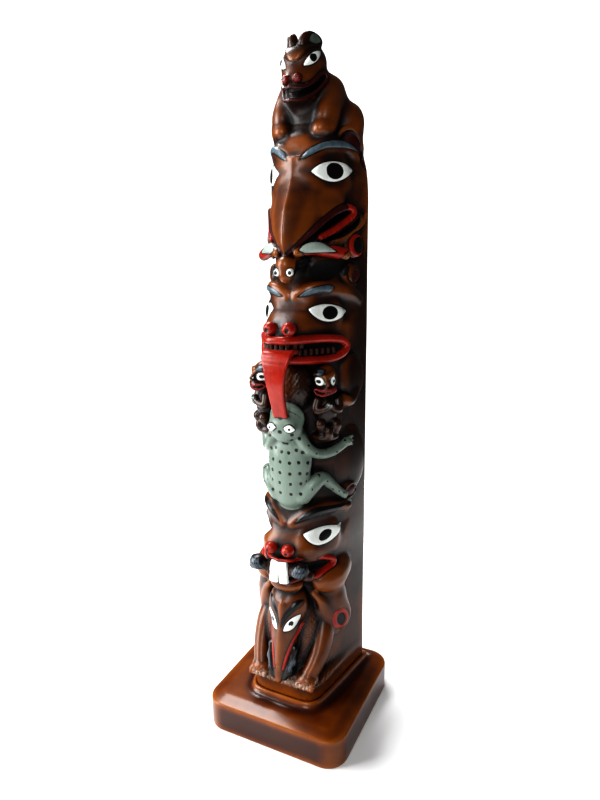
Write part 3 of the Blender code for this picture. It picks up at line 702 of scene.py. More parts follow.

# %% [markdown]
# A small fish hangs under the beak. Its fins reach round both sides, and a deep shadow lies under
# them. That shadow is painted as well as carved: the same limb is cut out and brushed near-black as
# painted shadow.

# %% Carve the fish under the beak and the wing joints beside it
clay.add(ball((0, -6, 280), (9, 8, 5)), 2)
clay.add(ball((0, -12, 277.4), (6.2, 7, 5.4), (-24, 0, 0)), 2)
clay.add(ball((0, -14, 273.4), (3.8, 4.6, 4.4), (-30, 0, 0)), 2)
fin = limb([(6, -12, 284.8, 2.4), (12.6, -6.2, 287, 3.4), (18.4, 0.4, 285.8, 3.4),
    (25.2, 7.8, 284, 3.2)])
clay.add(fin, 0.8)
shelter = limb([(4, -9.5, 277, 3.2), (11, -3.4, 276.4, 4.4), (18, 2.6, 276.4, 4.4),
    (23.4, 10, 277, 3.4)])
clay.cut(shelter, 2)
brush("shadow", shelter, 1.4)
fin_edge = leaf([(8.6, -11, 284.2), (15, -4, 284.8), (19.6, 1, 288.4), (28, 9, 287.6)],
    [(8.6, -11, 284.2), (14, -5, 280.6), (21, 2, 279.4), (28, 9, 287.6)], FACE_FACING, 12)
brush("red", fin_edge, 0, grown(fin, 0.5))
fin_patch = leaf([(7.4, -13, 286), (10.6, -9.8, 290), (15, -4.2, 290.8), (18, 0, 288.2),
     (21.8, 4, 285)],
    [(7.4, -13, 286), (9.8, -9.8, 284.6), (15, -3.8, 284.8), (21.8, 4, 285)], FACE_FACING, 9)
clay.groove(fin_patch, 0.3, 0.5)
brush("silver", fin_patch, -0.1)
press("white", ball((4, -16.4, 274.6), 1.9), 0.5, 0.3)
brush("black", ball((4.2, -18.2, 274.4), 1.15))
clay.add(ball((25.6, 19.4, 288.6), (7.2, 2.6, 7), (0, 0, 61)), 1)
ringed_joint(oval((28.6, 20.1, 288.8), (6.9, 6.7), 0, SIDE_FACING, 8), oval((28.9, 20.6, 288.8),
    (4.4, 4.6), 0, SIDE_FACING, 8), 0.6)
clay.add(ball((24.6, 18.2, 272.8), (7, 2.6, 6.6), (0, 0, 61)), 1)
bear_ear = oval((27.6, 18.4, 273.4), (5.6, 5.4), 0, SIDE_FACING, 8)
clay.groove(bear_ear, 0.5, 0.6)
bear_ear_hollow = oval((28.2, 19.4, 271.8), (3.4, 3.8), 0, SIDE_FACING, 8)
clay.swell(bear_ear_hollow, -0.8, 1.2)
brush("dark_red", bear_ear_hollow)
for number in range(4):
    rise = 2.3 * number
    feather = limb([(19 + 0.3 * number, 4, 288.6 + 0.6 * rise, 0.3), (22.6, 11, 290.8 + rise, 0.35),
        (25.6, 17, 296 + rise, 0.35), (29.4, 25, 300 + rise, 0.3)])
    clay.cut(feather, 0.4)
# Painted shade: the stain is darkened on the right side of the pole, where shade falls.
brush("painted_shade", block((31, 24, 270), (4, 12, 14), 1))
print("bird and fish carved")

# %% [markdown]
# ## The large bear
# The bear's muzzle is part of the column's plan. Its lips roll round a deep mouth with small teeth,
# and its tongue is a flat ribbon that hangs down to the frog.

# %% Carve the large bear
clay.add(limb([(3, -7, 262.2, 1.4), (8.6, -6.2, 265.2, 2.2), (14.4, -2.6, 266.6, 2.8),
    (19, 6.4, 265.4, 2.6), (24.8, 18.6, 262.6, 2.2), (27, 25, 258.6, 1)]), 4.5)
clay.add(ball((15.8, 4.9, 252), (9.5, 5.6, 8.5), (0, 0, 32)), 4)
clay.swell(almond((5, -9, 254), (28, 20, 253), (18, 1.2, 261), (18.3, 1.9, 244.5)), -0.6, 5)
carved_eye((9.8, -7.2, 255), (23.6, 14.2, 252.7), (17.3, 2.6, 257.3), (18.3, 2, 247.9),
    (18.2, 2.8, 252.7), (4.5, 3.7))
carved_brow("blue_grey",
    [(3.8, -8, 261.4), (8.7, -8, 264.8), (12.8, -6.6, 266.4), (16.6, -3.8, 267.4), (19.5, 0.5, 267.8),
     (21.2, 3.2, 266.4)],
    [(3.8, -8, 261.4), (8.6, -7.1, 262), (12.1, -5.5, 263), (16, -2.3, 263.7), (19, 1.6, 263.9),
     (21.2, 3.2, 266.4)])
nostril((5.6, -22, 245.3), (3.9, 4.2, 3.9), (6.2, -26, 244.6), 1.4)
bear_mouth = limb([(0, -24, 234.2, 3.2), (6.6, -22.2, 234.2, 3.2), (13.4, -12.4, 233.8, 3.3),
    (20, -1.6, 233.2, 3.2), (23.6, 4.6, 233.2, 2.2)])
clay.cut(bear_mouth, 0.6)
brush("shadow", bear_mouth, 0.5)
for place in range(7):
    share = place / 6
    tooth_x, tooth_y = 9.2 + 12.2 * share, -16.6 + 17.6 * share
    tooth = block((tooth_x, tooth_y, 232.2), (1.1, 1, 1.9), 0.6, (0, 0, 60))
    press("stained_teeth", tooth, 0.2, 0.15)
for tooth_x, tooth_y in ((1.6, -23), (4.8, -22.4), (7.8, -19.6), (10.2, -16.6)):
    tooth = block((tooth_x, tooth_y, 236.2), (1.3, 1, 1.6), 0.6, (0, 0, 20 + 4 * tooth_x))
    press("stained_teeth", tooth, 0.2, 0.15)
carved_lip("red", [(0, -24.8, 239.4, 2.2), (6.6, -23.2, 239.4, 2.2), (13.6, -13, 239.4, 2.2),
    (20.4, -2, 239, 2.2), (24.8, 5.6, 237.4, 2.2), (26.4, 8.8, 233.8, 2.1), (24.8, 5.6, 229.8, 2.2),
    (20.2, -1.4, 227.6, 2.2), (13.2, -12, 227.8, 2.2), (6.4, -20.8, 228.6, 2.2), (0, -22.6, 229, 2.2)])


def tongue_ribbon(x, y, z):
    """The tongue: thin from front to back, and narrower towards its tip."""
    path = curve_through([(-17, 233), (-23.4, 232.8), (-27, 229.4), (-28.4, 220.5), (-26.6, 210),
        (-22.6, 198)], 9)
    nearest = None
    for a, b in zip(path, path[1:]):
        step = b - a
        t = np.clip(((y - a[0]) * step[0] + (z - a[1]) * step[1]) / (step @ step), 0, 1)
        gap = np.sqrt((y - a[0] - t * step[0]) ** 2 + (z - a[1] - t * step[1]) ** 2)
        nearest = gap if nearest is None else np.minimum(nearest, gap)
    half_width = np.interp(z, [199, 208, 214, 219, 225, 231, 236], [4.2, 4.5, 5.1, 5.8, 7, 8.8, 9.2])
    over_x = np.abs(x) - half_width + 0.7
    over_y = nearest - 1.5 + 0.7
    return (np.sqrt(np.maximum(over_x, 0) ** 2 + np.maximum(over_y, 0) ** 2)
            + np.minimum(np.maximum(over_x, over_y), 0) - 0.7)


tongue = Shape((0, -31, 197), (11, -12, 238), tongue_ribbon)
clay.add(ball((0, -6.5, 212), (13, 10.5, 16)), 3)
clay.hatch(ball((6, -12, 213), (12, 8, 14)), 0.22, 2, 4)
press("red", tongue, 0.3, 0.2)
clay.add(ball((25.6, 16.6, 214.5), (9.5, 3.4, 14), (0, 0, 61)), 1.2)
clay.add(limb([(27.6, 18, 206, 3), (26, 14, 201.6, 3.6), (23.6, 8.6, 202.6, 3.8)]), 1.5)
clay.add(ball((24.8, 17, 164), (12, 3.2, 21), (0, 0, 61)), 1.5)
# Painted shade: the stain is darkened behind the tongue and on the right side of the pole, where shade
# falls.
brush("painted_shade", ball((3, -8, 212), (15, 8, 15)))
brush("painted_shade", block((33, 24, 222), (6, 12, 40), 1))
# Painted highlight: the stain is lightened on the cheek and the brow, where light falls.
brush("painted_highlight", ball((26, 9, 241), (5, 7, 6)))
brush("painted_highlight", ball((8, -10, 262), (7, 5, 3)))
print("large bear carved")

# %% [markdown]
# A small figure crouches on each side of the tongue, with its hands together over its knees. It
# looks outwards by its own angle, so its eyes and its patch are drawn at that facing.

# %% Carve the two crouching figures
HEAD_FACING = 31
clay.add(ball((19.6, -5.2, 216.8), (6.4, 6.8, 7.8), (0, 0, 30)), 1)
clay.add(ball((21.6, -8.4, 212), (5.4, 5.4, 3.4), (0, 0, 30)), 1.2)
clay.add(limb([(15, -9.4, 219.4, 1.2), (18.6, -11.2, 220.2, 1.4), (22.4, -11.6, 218.8, 1.3),
    (25.2, -7.8, 220.4, 1.2)]), 1)
clay.add(limb([(22.4, -11.4, 218.4, 1), (23.6, -12.8, 215.4, 1.5)]), 0.8)
figure_eye = almond((15.4, -12.6, 216.8), (22.2, -12.2, 215.4), (18.8, -13, 218.6), (18.8, -13, 213.9),
    HEAD_FACING, 5)
clay.groove(figure_eye, 0.3, 0.5)
brush("white", figure_eye)
brush("black", oval((18.9, -13, 216.2), (1.2, 1.1), 0, HEAD_FACING, 5))
outer_eye = oval((26.2, -9.2, 216.6), (1.6, 2.4), 0, 50, 4)
brush("white", outer_eye)
brush("black", oval((26.6, -8.8, 216.4), (0.8, 1), 0, 50, 4))
figure_patch = leaf([(17, -13, 219.6), (19.6, -13, 222.6), (22.6, -12, 222.2)],
    [(17, -13, 219.6), (20.2, -13, 219.9), (22.6, -12, 222.2)], HEAD_FACING, 6)
brush("blue_grey", figure_patch, -0.1)
figure_mouth = limb([(16.6, -12.6, 210.8, 0.65), (21.2, -13.4, 209.9, 1.1), (24.8, -11.4, 211, 0.7),
    (26.4, -8.6, 211.8, 0.6)])
brush("shadow", figure_mouth, 0.5)
carved_lip("bead_red", [(15.4, -11.4, 210.8, 0.55), (16.8, -12.6, 212, 0.65), (20.9, -13.9, 211.6, 0.7),
    (24.8, -11.9, 212.2, 0.7), (27, -8.4, 212.8, 0.6)], 0.4)
carved_lip("bead_red", [(15.4, -11.4, 210.8, 0.55), (17.4, -12.6, 209.4, 0.65),
    (21.4, -13.4, 208.9, 0.7), (25, -11.3, 210, 0.7), (27.2, -8.2, 211.6, 0.6)], 0.4)
clay.add(ball((18.8, -3.6, 199.6), (6.8, 6.6, 9.6), (0, 0, 30)), 1.5)
clay.add(limb([(16.6, -8.8, 204.6, 2.9), (16.4, -11, 200, 2.5), (20.6, -10.8, 200.4, 1.9),
    (23.4, -9.4, 202.2, 1.8)]), 0.6)
clay.add(limb([(25.4, -1.4, 204.4, 2.8), (26.6, -3.2, 200, 2.4), (25.2, -7.2, 200.8, 1.9),
    (23.8, -9, 203.2, 1.8)]), 0.6)
clay.add(ball((24, -9.2, 203), (2.5, 2.2, 2.4), (0, 0, 30)), 0.5)
for line in range(3):
    height = 201.8 + 1.1 * line
    brush("silver", limb([(22.4, -12.2, height, 0.32), (26.6, -10.2, height + 0.5, 0.32)]))
clay.add(limb([(17, -5.4, 186.4, 2.6), (18.2, -9.6, 191.6, 3.1), (17.6, -6.4, 192, 2.8)]), 0.6)
clay.add(limb([(23.4, -1, 186.4, 2.5), (25.2, -3.6, 191, 3), (23, -1, 191.6, 2.8)]), 0.6)
clay.add(ball((21.8, -6.6, 186.6), (2.8, 3.2, 4.2), (0, 0, 30)), 0.6)
clay.add(ball((18.6, -3.6, 183.6), (7.8, 5.6, 3.2), (0, 0, 30)), 1)
# Painted shade: the stain is darkened round the figure, where shade falls.
brush("painted_shade", ball((20.5, -5, 200), (9, 10, 21)), 1)
print("bear and figures carved")

# %% [markdown]
# ## The frog
# The frog climbs head up over the bear's belly, and the tongue ends in its mouth. It is the only
# animal that is painted all over, so every part of it is also a stroke of green. A spot on its body
# is a small ball set where the clay's surface is, and a spot on a limb is a small prism.

# %% Carve the frog
frog_parts = [
    (ball((0, -12, 169.6), (13.4, 6.8, 22.5), (-5, 0, 0)), 1.2),
    (ball((0, -11.4, 155), (12.6, 6.4, 15), (-8, 0, 0)), 3),
    (ball((0, -17, 190.2), (10.2, 7, 9), (-6, 0, 0)), 3),
    (limb([(8.8, -15.4, 184, 3.4), (12.4, -13, 177.6, 3.1), (16.4, -7.2, 173.4, 2.9),
           (21.6, -0.4, 173.6, 2.7), (26.2, 6.8, 177.2, 2.4)]), 1.2),
    (ball((27, 8, 178), (3.4, 3, 2.6), (0, 0, 60)), 0.8),
    (limb([(8.4, -12.2, 148.4, 4.8), (13.4, -11, 154.8, 4.6), (17.6, -6.4, 158.8, 3.8),
           (21.2, -1.6, 154.2, 3.1), (24, 3.4, 148.8, 2.6), (26.4, 7.2, 145.6, 2.2)]), 1.2),
    (ball((5.6, -22, 190.8), (3.6, 2.6, 2.4), (0, -14, 20)), 1.2),
]
press("frog_green", ball((0, -14.6, 196), (10.6, 4.4, 7.6), (10, 0, 0)), 0.8, 0.3)
for part, blend in frog_parts:
    press("frog_green", part, blend, 0.25 + blend * 0.3)
for toe in (-1.5, 0, 1.5):
    finger = limb([(26.4, 7.2, 177.8 + toe, 1), (29.4, 10.4, 178.6 + 1.6 * toe, 0.8)])
    toes = limb([(25.8, 6.2, 145.6 + toe * 0.6, 1.1), (29, 10.2, 143.8 + 1.7 * toe, 0.8)])
    for shape in (finger, toes):
        press("frog_green", shape, 0.5, 0.3)
frog_eye = almond((2.7, -24.6, 191), (8.8, -22.4, 190.5), (5.7, -24, 192.9), (5.7, -24, 188.9), 20, 6)
clay.groove(frog_eye, 0.15, 0.5)
brush("white", frog_eye)
brush("black", oval((5.9, -24, 190.9), (0.85, 0.8), 0, 20, 6))


def front_of_clay(x, z):
    """How far forward the clay stands at one place, seen from the front."""
    heights = np.array([read_grid(clay.field, clay.axes, np.array(abs(x)), np.array(y), np.array(z))
                        for y in clay.axes[1]])
    first = max(int(np.argmax(heights < 0)), 1)
    share = heights[first - 1] / (heights[first - 1] - heights[first])
    return clay.axes[1][first - 1] + share * clay.step


FROG_SPOTS = [
    (0.4, 196.4), (5.4, 183.6), (9.4, 184.6), (0.4, 188.6), (6.6, 187.2), (1, 180.6), (6.6, 177),
    (2.2, 175.2), (8.2, 170), (12.6, 169.6), (3, 169.4), (8.8, 163.6), (12.2, 163.2), (3.2, 163),
    (9.2, 157.4), (3.4, 156.8), (9, 151.2), (3.4, 150.6), (10, 175.8),
]
for spot_x, spot_z in FROG_SPOTS:
    spot = ball((spot_x, front_of_clay(spot_x, spot_z), spot_z), 1.15)
    clay.groove(spot, 0.16, 0.5)
    brush("black", spot)
for spot in ((12.8, -14.6, 180.4), (15.4, -10.4, 174.9), (19.2, -4.8, 175.6), (23.2, 1, 173.6),
             (26.2, 6.2, 179.2), (11.4, -15, 158.8), (14, -13.4, 154.4), (17.2, -9.8, 161.4),
             (20.4, -6, 157.6), (22, -1.6, 151.6), (24.6, 1.6, 149.6), (26.2, 5.2, 147.6)):
    brush("black", oval(spot, (0.75, 0.75), 0, 40, 4))
clay.add(ball((25.2, 13.6, 145.6), (6.8, 2.8, 5.8), (0, 0, 60)), 1.2)
ear_hollow = leaf([(25.6, 8.6, 142.4), (27, 11, 147.6), (28.6, 15.6, 149.2), (29.4, 18.6, 146.4)],
    [(25.6, 8.6, 142.4), (27.2, 12.6, 142.2), (28.6, 16, 143.2), (29.4, 18.6, 146.4)], 48, 6)
clay.swell(ear_hollow, -0.7, 1.2)
clay.groove(ear_hollow, 0.3, 0.5)
brush("dark_red", ear_hollow)
print("frog carved")

# %% [markdown]
# ## The beaver
# The beaver holds a stick across its mouth with both paws. Its two front teeth stand before the
# stick, and its round jowls hang beside the raven's head.

# %% Carve the beaver
clay.add(limb([(3, -16, 131.6, 1.2), (10, -13.6, 136.8, 2.4), (15.6, -8.8, 139.6, 2.8),
    (21, 1.2, 139.2, 2.8), (26, 12.6, 136.6, 2.2)]), 4)
clay.add(ball((16.6, -2.2, 123.6), (10, 4.4, 9.5), (0, 0, 32)), 5)
clay.swell(almond((6, -17, 125), (28, 12, 127), (19.8, -4.1, 133.5), (18.3, -6.7, 115.6)), -0.5, 5)
carved_eye((10, -16.4, 126.7), (24.2, 7.4, 126.4), (19.1, -4.1, 129.3), (18.6, -7.6, 119.2),
    (19.1, -5.8, 124.6), (4.3, 2.9), 20)
carved_brow("navy",
    [(4.6, -17.8, 132), (9.8, -17.1, 137.5), (16.2, -13.2, 141.3), (22.1, -5.2, 141),
     (28.8, 9.2, 138.4)],
    [(4.6, -17.8, 132), (11.6, -15.5, 134.7), (16.4, -9.2, 136), (22.4, 1.4, 136.2),
     (28.8, 9.2, 138.4)])
nostril((5.4, -27, 120), (3.8, 3.9, 3.5), (6.1, -30.8, 119.2), 1.1)
clay.add(ball((21, -3.4, 95.6), (7.4, 12, 8.6), (0, 0, -28)), 4)
clay.add(ball((24.6, 6, 98), (4, 8, 7), (0, 0, -24)), 5)
# Painted highlight: the stain is lightened on the jowl and the snout, where light falls.
brush("painted_highlight", ball((25, -8, 95.6), (7, 9, 7), (0, 0, -28)), 1.5)
brush("painted_highlight", ball((12, -20, 121), (7, 6, 5)))
clay.add(ball((0, -18.4, 95), (10.5, 7, 5)), 2)
beaver_mouth = limb([(0, -26.4, 106, 4.6), (8, -23, 106.6, 4.4), (14.6, -15, 106.4, 3),
    (20.4, -7.2, 107, 1.6)])
clay.cut(beaver_mouth, 0.6)
brush("shadow", beaver_mouth, 0.5)
carved_lip("red", [(0, -27.6, 113.4, 0.9), (7, -25.6, 113.4, 0.9), (12, -18.6, 113, 0.9),
    (17.4, -11.2, 111.4, 1.2), (21, -5.8, 109.6, 1.6), (23, -2, 107.2, 1.8), (22.8, -2.6, 104.8, 1.9),
    (20.6, -7.4, 102.6, 2), (17.6, -12.4, 101, 1.9), (16, -15.6, 100.6, 1.5)], 0.4)
carved_lip("lip_pink", [(0, -27.6, 99, 1.2), (4, -26.8, 99.2, 1.2), (8, -24, 100.4, 1.1),
    (12.4, -18.8, 101.2, 1)], 0.5)
press("stick_brown", limb([(0, -24.6, 107.2, 3.3), (10, -25.2, 107, 3.4), (17.6, -25.6, 106.4, 3.2)]),
    0.4, 0.2)
paw = ball((13.6, -27.6, 109.6), (5.2, 4.8, 4.4), (0, -12, 10))
press("navy", paw, 0.5, 0.2)
for offset in (-3, -1.4, 0.2, 1.8, 3.4):
    rib = block((13.8 + offset, -30.6, 109.8), (0.42, 3.4, 3.6), 0.1, (0, 24, 0))
    clay.groove(rib, -0.3, 0.5)
    brush("claw_grey", rib, 0.1, grown(paw, 0.5))
press("white", block((2.9, -27.6, 106), (2.6, 1.7, 6.4), 0.8, (-5, -3, 6)), 0.2, 0.25)
brush("black", limb([(0, -30.2, 112, 0.25), (0, -30.2, 100, 0.25)]))
# Painted shade: the stain is darkened on the right side of the pole, where shade falls.
brush("painted_shade", block((33, 24, 130), (6, 12, 62), 1))
print("beaver carved")

# %% [markdown]
# ## The raven at the foot
# The raven's head hangs between the beaver's legs. Its beak has a soft ridge, a red line for its
# mouth, and dark feather ends on both sides of its tip.

# %% Carve the raven's head
clay.add(ball((6, -10, 54), (13, 9, 30)), 3, True)
clay.hatch(ball((14, -14, 56), (12, 10, 27)), 0.3, 2.2, 3.6)
clay.add(ball((0, -16, 80.4), (12.4, 9.8, 13.6), (-12, 0, 0)), 2)
clay.add(limb([(0, -16.6, 82, 8.4), (0, -18.2, 74, 8.8), (0, -19.8, 65, 8.4), (0, -22.2, 56, 7.4),
    (0, -25.2, 47, 5.9), (0, -28, 40.6, 4.2), (0, -30.4, 36.6, 2)]), 1.5)
clay.add(limb([(0, -25.4, 84, 0.8), (0, -26.6, 74, 1), (0, -28, 62, 1), (0, -30.4, 48, 0.8)]), 2.6)
carved_eye((1.9, -27.6, 68), (8.7, -19.2, 77.6), (4.6, -24.4, 75), (6.6, -24.5, 69), (5.6, -24.9, 72.7),
    (1.8, 1.5), 50, 40, 6)
carved_brow("navy",
    [(0.2, -27.4, 70.5), (0.8, -27, 75.4), (3.1, -24, 81.2), (6.5, -20.7, 85.6), (10, -17, 85.6)],
    [(0.2, -27.4, 70.5), (2.6, -25.7, 75.6), (6.1, -22.6, 80.4), (8.4, -19.6, 83), (10, -17, 85.6)],
     40, 7)
carved_lip("red", [(10, -17.8, 69.6, 0.8), (8.4, -21.3, 65.3, 1), (6.6, -24.5, 61, 1),
    (4.6, -28.1, 53, 0.9), (2.8, -30.3, 44.6, 0.7)], 0.5)
feathers = limb([(7.6, -24, 57, 1.2), (7.6, -25.8, 53, 1.7), (7, -27.8, 47.6, 1.9), (5.2, -29, 42, 2),
    (3.4, -29.8, 38.4, 1.7)])
lobes = [ball((8.2, -24.6, 54.8), (1.6, 2, 2.6)), ball((8.2, -26.8, 48.8), (1.8, 2, 2.8)),
    ball((6.4, -28.6, 42.4), (2, 2, 2.6))]
for shape in [feathers] + lobes:
    press("navy", shape, 0.8, 0.3)
for offset in (-0.4, 1.2, 2.8):
    rib = limb([(7.8 + offset * 0.6, -26.4 + offset * 0.3, 58, 0.35),
        (7.8 + offset * 0.7, -28.6 + offset * 0.5, 50.6, 0.4),
        (6.2 + offset * 0.6, -30.6 + offset * 0.6, 43.4, 0.35)])
    clay.groove(rib, 0.3, 0.5)
    brush("claw_grey", rib, 0.1)
# Painted highlight: the stain is lightened along the ridge of the beak, where light falls.
brush("painted_highlight", limb([(0, -27, 60, 1), (0, -30, 46, 1)]), 1)
print("raven's head carved")

# %% [markdown]
# The beaver's legs come down beside the raven. A ring marks each knee, and the feet stand on the rim
# of the foot, which is worn pale by a nearly dry brush.

# %% Carve the beaver's legs
KNEE_FACING = 48
clay.add(ball((25, -0.4, 69), (9, 3.8, 11), (0, 10, KNEE_FACING)), 2)
clay.add(ball((22.4, 2, 80), (7, 8, 12)), 4)
clay.add(ball((21.6, -4.2, 77), (8, 3.6, 12), (0, 0, KNEE_FACING)), 3)
clay.add(limb([(14.6, -12.6, 88, 1.6), (18.2, -9.8, 82, 2), (20.8, -7.2, 74, 2), (22.4, -5.6, 66, 2),
    (24.2, -4.2, 60, 1.6)]), 3.5)
ringed_joint(oval((27.2, -1.4, 68.6), (5.9, 7.3), 14, KNEE_FACING, 7), oval((27.4, -1, 68.4),
    (3.1, 4.6), 14, KNEE_FACING, 7), 0.7)
clay.add(limb([(18, -3, 70, 5.4), (19.2, -8.2, 61, 6.4), (19.2, -13.6, 51.4, 6),
    (17.8, -18.4, 44.6, 5.4), (16.2, -21.4, 40.2, 5.2)]), 1)
clay.add(ball((15.2, -22.6, 37.6), (6.8, 6.6, 4.6)), 0.8)
for toe_x in (12, 14.4, 16.8, 19.2, 21.2):
    clay.add(limb([(toe_x * 0.6 + 5.4, -22.6, 39.4, 1.4), (toe_x - 0.8, -27, 36.6, 1.5),
        (toe_x - 0.8, -28.6, 34.4, 1.2)]), 0.3)
clay.hatch(block((13, -14, 35), (13, 16, 4.5), 1), 0.35, 2.6, 2.8)
brush("dry_brush", limb([(0, -27.6, 34, 1.8), (12, -27.2, 34.4, 2.2), (20, -25.4, 34.6, 2.4),
    (24, -19, 34.6, 1.6)]), 1.4)
brush("dry_brush", ball((9.5, -24.5, 35.6), (4.5, 4, 2.2)))
# Painted highlight: the stain is lightened on the leg, where light falls.
brush("painted_highlight", ball((26, -4, 44), (5, 12, 8)))
print("legs carved")

# %% [markdown]
# The back of the real pole is flat, because the mould is open there. Cutting it last keeps every
# animal behind the same plane, and its edge gets the small radius of a cast one.

# %% Cut the back and the foot flat
x, y, z = clay.axes[0][:, None, None], clay.axes[1][None, :, None], clay.axes[2][None, None, :]
clay.field = -rounded_minimum(-clay.field, BACK_Y - y + 0 * x, 0.8)
clay.field = np.maximum(clay.field, pole_low[2] - z)
print("clay in the pole:", round(2 * (clay.field < 0).sum() * clay.step ** 3 / 1000), "ml")

# %% [markdown]
# ## From clay to a mesh
# The surface is where the distance is zero. Each grid cell that the surface passes through gets
# one vertex, at the middle of the places where it crosses the cell's edges, and four neighbouring
# cells share a face. Decimate then takes the faces away where the surface is nearly flat.

# %% The surface of a distance grid
TRIANGLE_LIMIT = 194000
CORNERS = [(a, b, c) for a in (0, 1) for b in (0, 1) for c in (0, 1)]


def surface_of(field, axes):
    """Vertices and faces of the surface where a grid of distances is zero."""
    inside = field < 0
    shape = np.array(field.shape) - 1
    filled = sum(inside[a:a + shape[0], b:b + shape[1], c:c + shape[2]].astype(np.int8)
                 for a, b, c in CORNERS)
    cells = np.argwhere((filled > 0) & (filled < 8))
    number = np.full(shape, -1, np.int32)
    number[tuple(cells.T)] = np.arange(len(cells))
    total = np.zeros((len(cells), 3))
    crossings = np.zeros(len(cells))
    for axis in range(3):
        one, two = [other for other in range(3) if other != axis]
        for a in (0, 1):
            for b in (0, 1):
                start = cells.copy()
                start[:, one] += a
                start[:, two] += b
                end = start.copy()
                end[:, axis] += 1
                first, second = field[tuple(start.T)], field[tuple(end.T)]
                crosses = (first < 0) != (second < 0)
                point = start.astype(float)
                point[:, axis] += np.where(crosses, first / np.where(crosses, first - second, 1), 0)
                total[crosses] += point[crosses]
                crossings += crosses
    places = total / crossings[:, None]
    faces = []
    for axis in range(3):
        one, two = [(axis + 1) % 3, (axis + 2) % 3]
        lower = np.take(inside, range(shape[axis]), axis)
        upper = np.take(inside, range(1, shape[axis] + 1), axis)
        edges = np.argwhere(lower != upper)
        edges = edges[(edges[:, one] > 0) & (edges[:, two] > 0)
                      & (edges[:, one] < shape[one]) & (edges[:, two] < shape[two])]
        around = []
        for a, b in ((0, 0), (1, 0), (1, 1), (0, 1)):
            cell = edges.copy()
            cell[:, one] -= a
            cell[:, two] -= b
            around.append(number[tuple(cell.T)])
        quads = np.column_stack(around)
        outward = lower[tuple(edges.T)]
        faces.append(np.where(outward[:, None], quads, quads[:, ::-1]))
    points = np.column_stack([np.interp(places[:, axis], np.arange(len(values)), values)
                              for axis, values in enumerate(axes)])
    return points, np.vstack(faces)


def mesh_object(name, points, faces, limit):
    """A mesh object in metres with at most the given number of triangles."""
    data = bpy.data.meshes.new(name + " cast")
    data.vertices.add(len(points))
    data.vertices.foreach_set("co", (points * MM).astype(np.float32).ravel())
    data.loops.add(faces.size)
    data.loops.foreach_set("vertex_index", faces.astype(np.int32).ravel())
    data.polygons.add(len(faces))
    data.polygons.foreach_set("loop_start", np.arange(0, faces.size, faces.shape[1], dtype=np.int32))
    data.update(calc_edges=True)
    item = bpy.data.objects.new(name, data)
    bpy.context.scene.collection.objects.link(item)
    triangles = len(faces) * (faces.shape[1] - 2)
    if triangles > limit:
        fewer = item.modifiers.new("fewer facets", "DECIMATE")
        fewer.ratio = limit / triangles
        graph = bpy.context.evaluated_depsgraph_get()
        reduced = bpy.data.meshes.new_from_object(item.evaluated_get(graph))
        item.modifiers.clear()
        item.data = reduced
        bpy.data.meshes.remove(data)
    item.data.validate()
    item.data.shade_smooth()
    item.data.calc_loop_triangles()
    print(name, "has", len(item.data.loop_triangles), "triangles")
    return item


def vertex_places(item):
    places = np.zeros(len(item.data.vertices) * 3, np.float32)
    item.data.vertices.foreach_get("co", places)
    return places.reshape(-1, 3).astype(float) / MM


def set_attribute(item, name, values):
    attribute = item.data.attributes.new(name, "FLOAT", "POINT")
    attribute.data.foreach_set("value", np.asarray(values, np.float32))


# %% [markdown]
# A dark glaze is wiped over the paint and stays in the hollows, and the high places are polished.
# Both follow from how the surface bends. Where the average distance around a point is below zero,
# there is more clay than air around it, and the point lies in a hollow.

# %% Measure hollows and ridges
def blurred(field, reach, step):
    """The average of a grid over a cube round each point."""
    cells = max(1, int(round(reach / step)))
    found = np.clip(field, -4, 4).astype(np.float64)
    for axis in range(3):
        padded = np.concatenate([np.take(found, [0] * (cells + 1), axis), found,
                                 np.take(found, [-1] * cells, axis)], axis)
        sums = np.cumsum(padded, axis)
        size = found.shape[axis]
        found = (np.take(sums, range(2 * cells + 1, 2 * cells + 1 + size), axis)
                 - np.take(sums, range(0, size), axis)) / (2 * cells + 1)
    return found.astype(np.float32)


def paint_distances(places, strokes):
    """Each colour's distance to its edge at some places, positive inside the paint."""
    x, y, z = np.abs(places[:, 0]), places[:, 1], places[:, 2]
    for colour, shapes in strokes.items():
        best = np.full(len(places), -3.0)
        for shape, grow, within in shapes:
            low, high = shape.low - 3 - grow, shape.high + 3 + grow
            near = ((x > low[0]) & (x < high[0]) & (y > low[1]) & (y < high[1])
                    & (z > low[2]) & (z < high[2]))
            inside = grow - shape.distance(x[near], y[near], z[near])
            if within is not None:
                inside = np.minimum(inside, -within.distance(x[near], y[near], z[near]))
            best[near] = np.maximum(best[near], inside)
        yield colour, np.clip(best, -3, 3)


# %% [markdown]
# The carved half is mirrored and cast as one piece. Each colour's distance and the two bends are
# stored on its vertices, which is where the finish reads them.

# %% Cast the pole
pole_field = np.concatenate([clay.field[:0:-1], clay.field])
pole_axes = [np.concatenate([-clay.axes[0][:0:-1], clay.axes[0]]), clay.axes[1], clay.axes[2]]
points, faces = surface_of(pole_field, pole_axes)
pole = mesh_object("painted_pole", points, faces, TRIANGLE_LIMIT)
places = vertex_places(pole)
for name, reach in (("fine_bend", 1.1), ("broad_bend", 3.2)):
    soft_field = blurred(clay.field, reach, clay.step)
    set_attribute(pole, name, read_grid(soft_field, clay.axes, np.abs(places[:, 0]), places[:, 1],
                                        places[:, 2]))
for colour, values in paint_distances(places, paint):
    set_attribute(pole, colour, values)
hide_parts("totem_pole")
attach(pole, "root")
print("paint:", {colour: len(shapes) for colour, shapes in paint.items()})

# %% [markdown]
# ## The plinth
# The base is a separate casting: a square block with a shallow slope round its top and a raised lip
# that the pole's foot stands in. It is carved as clay too, because its cove and its soft cast
# edges are fillets.

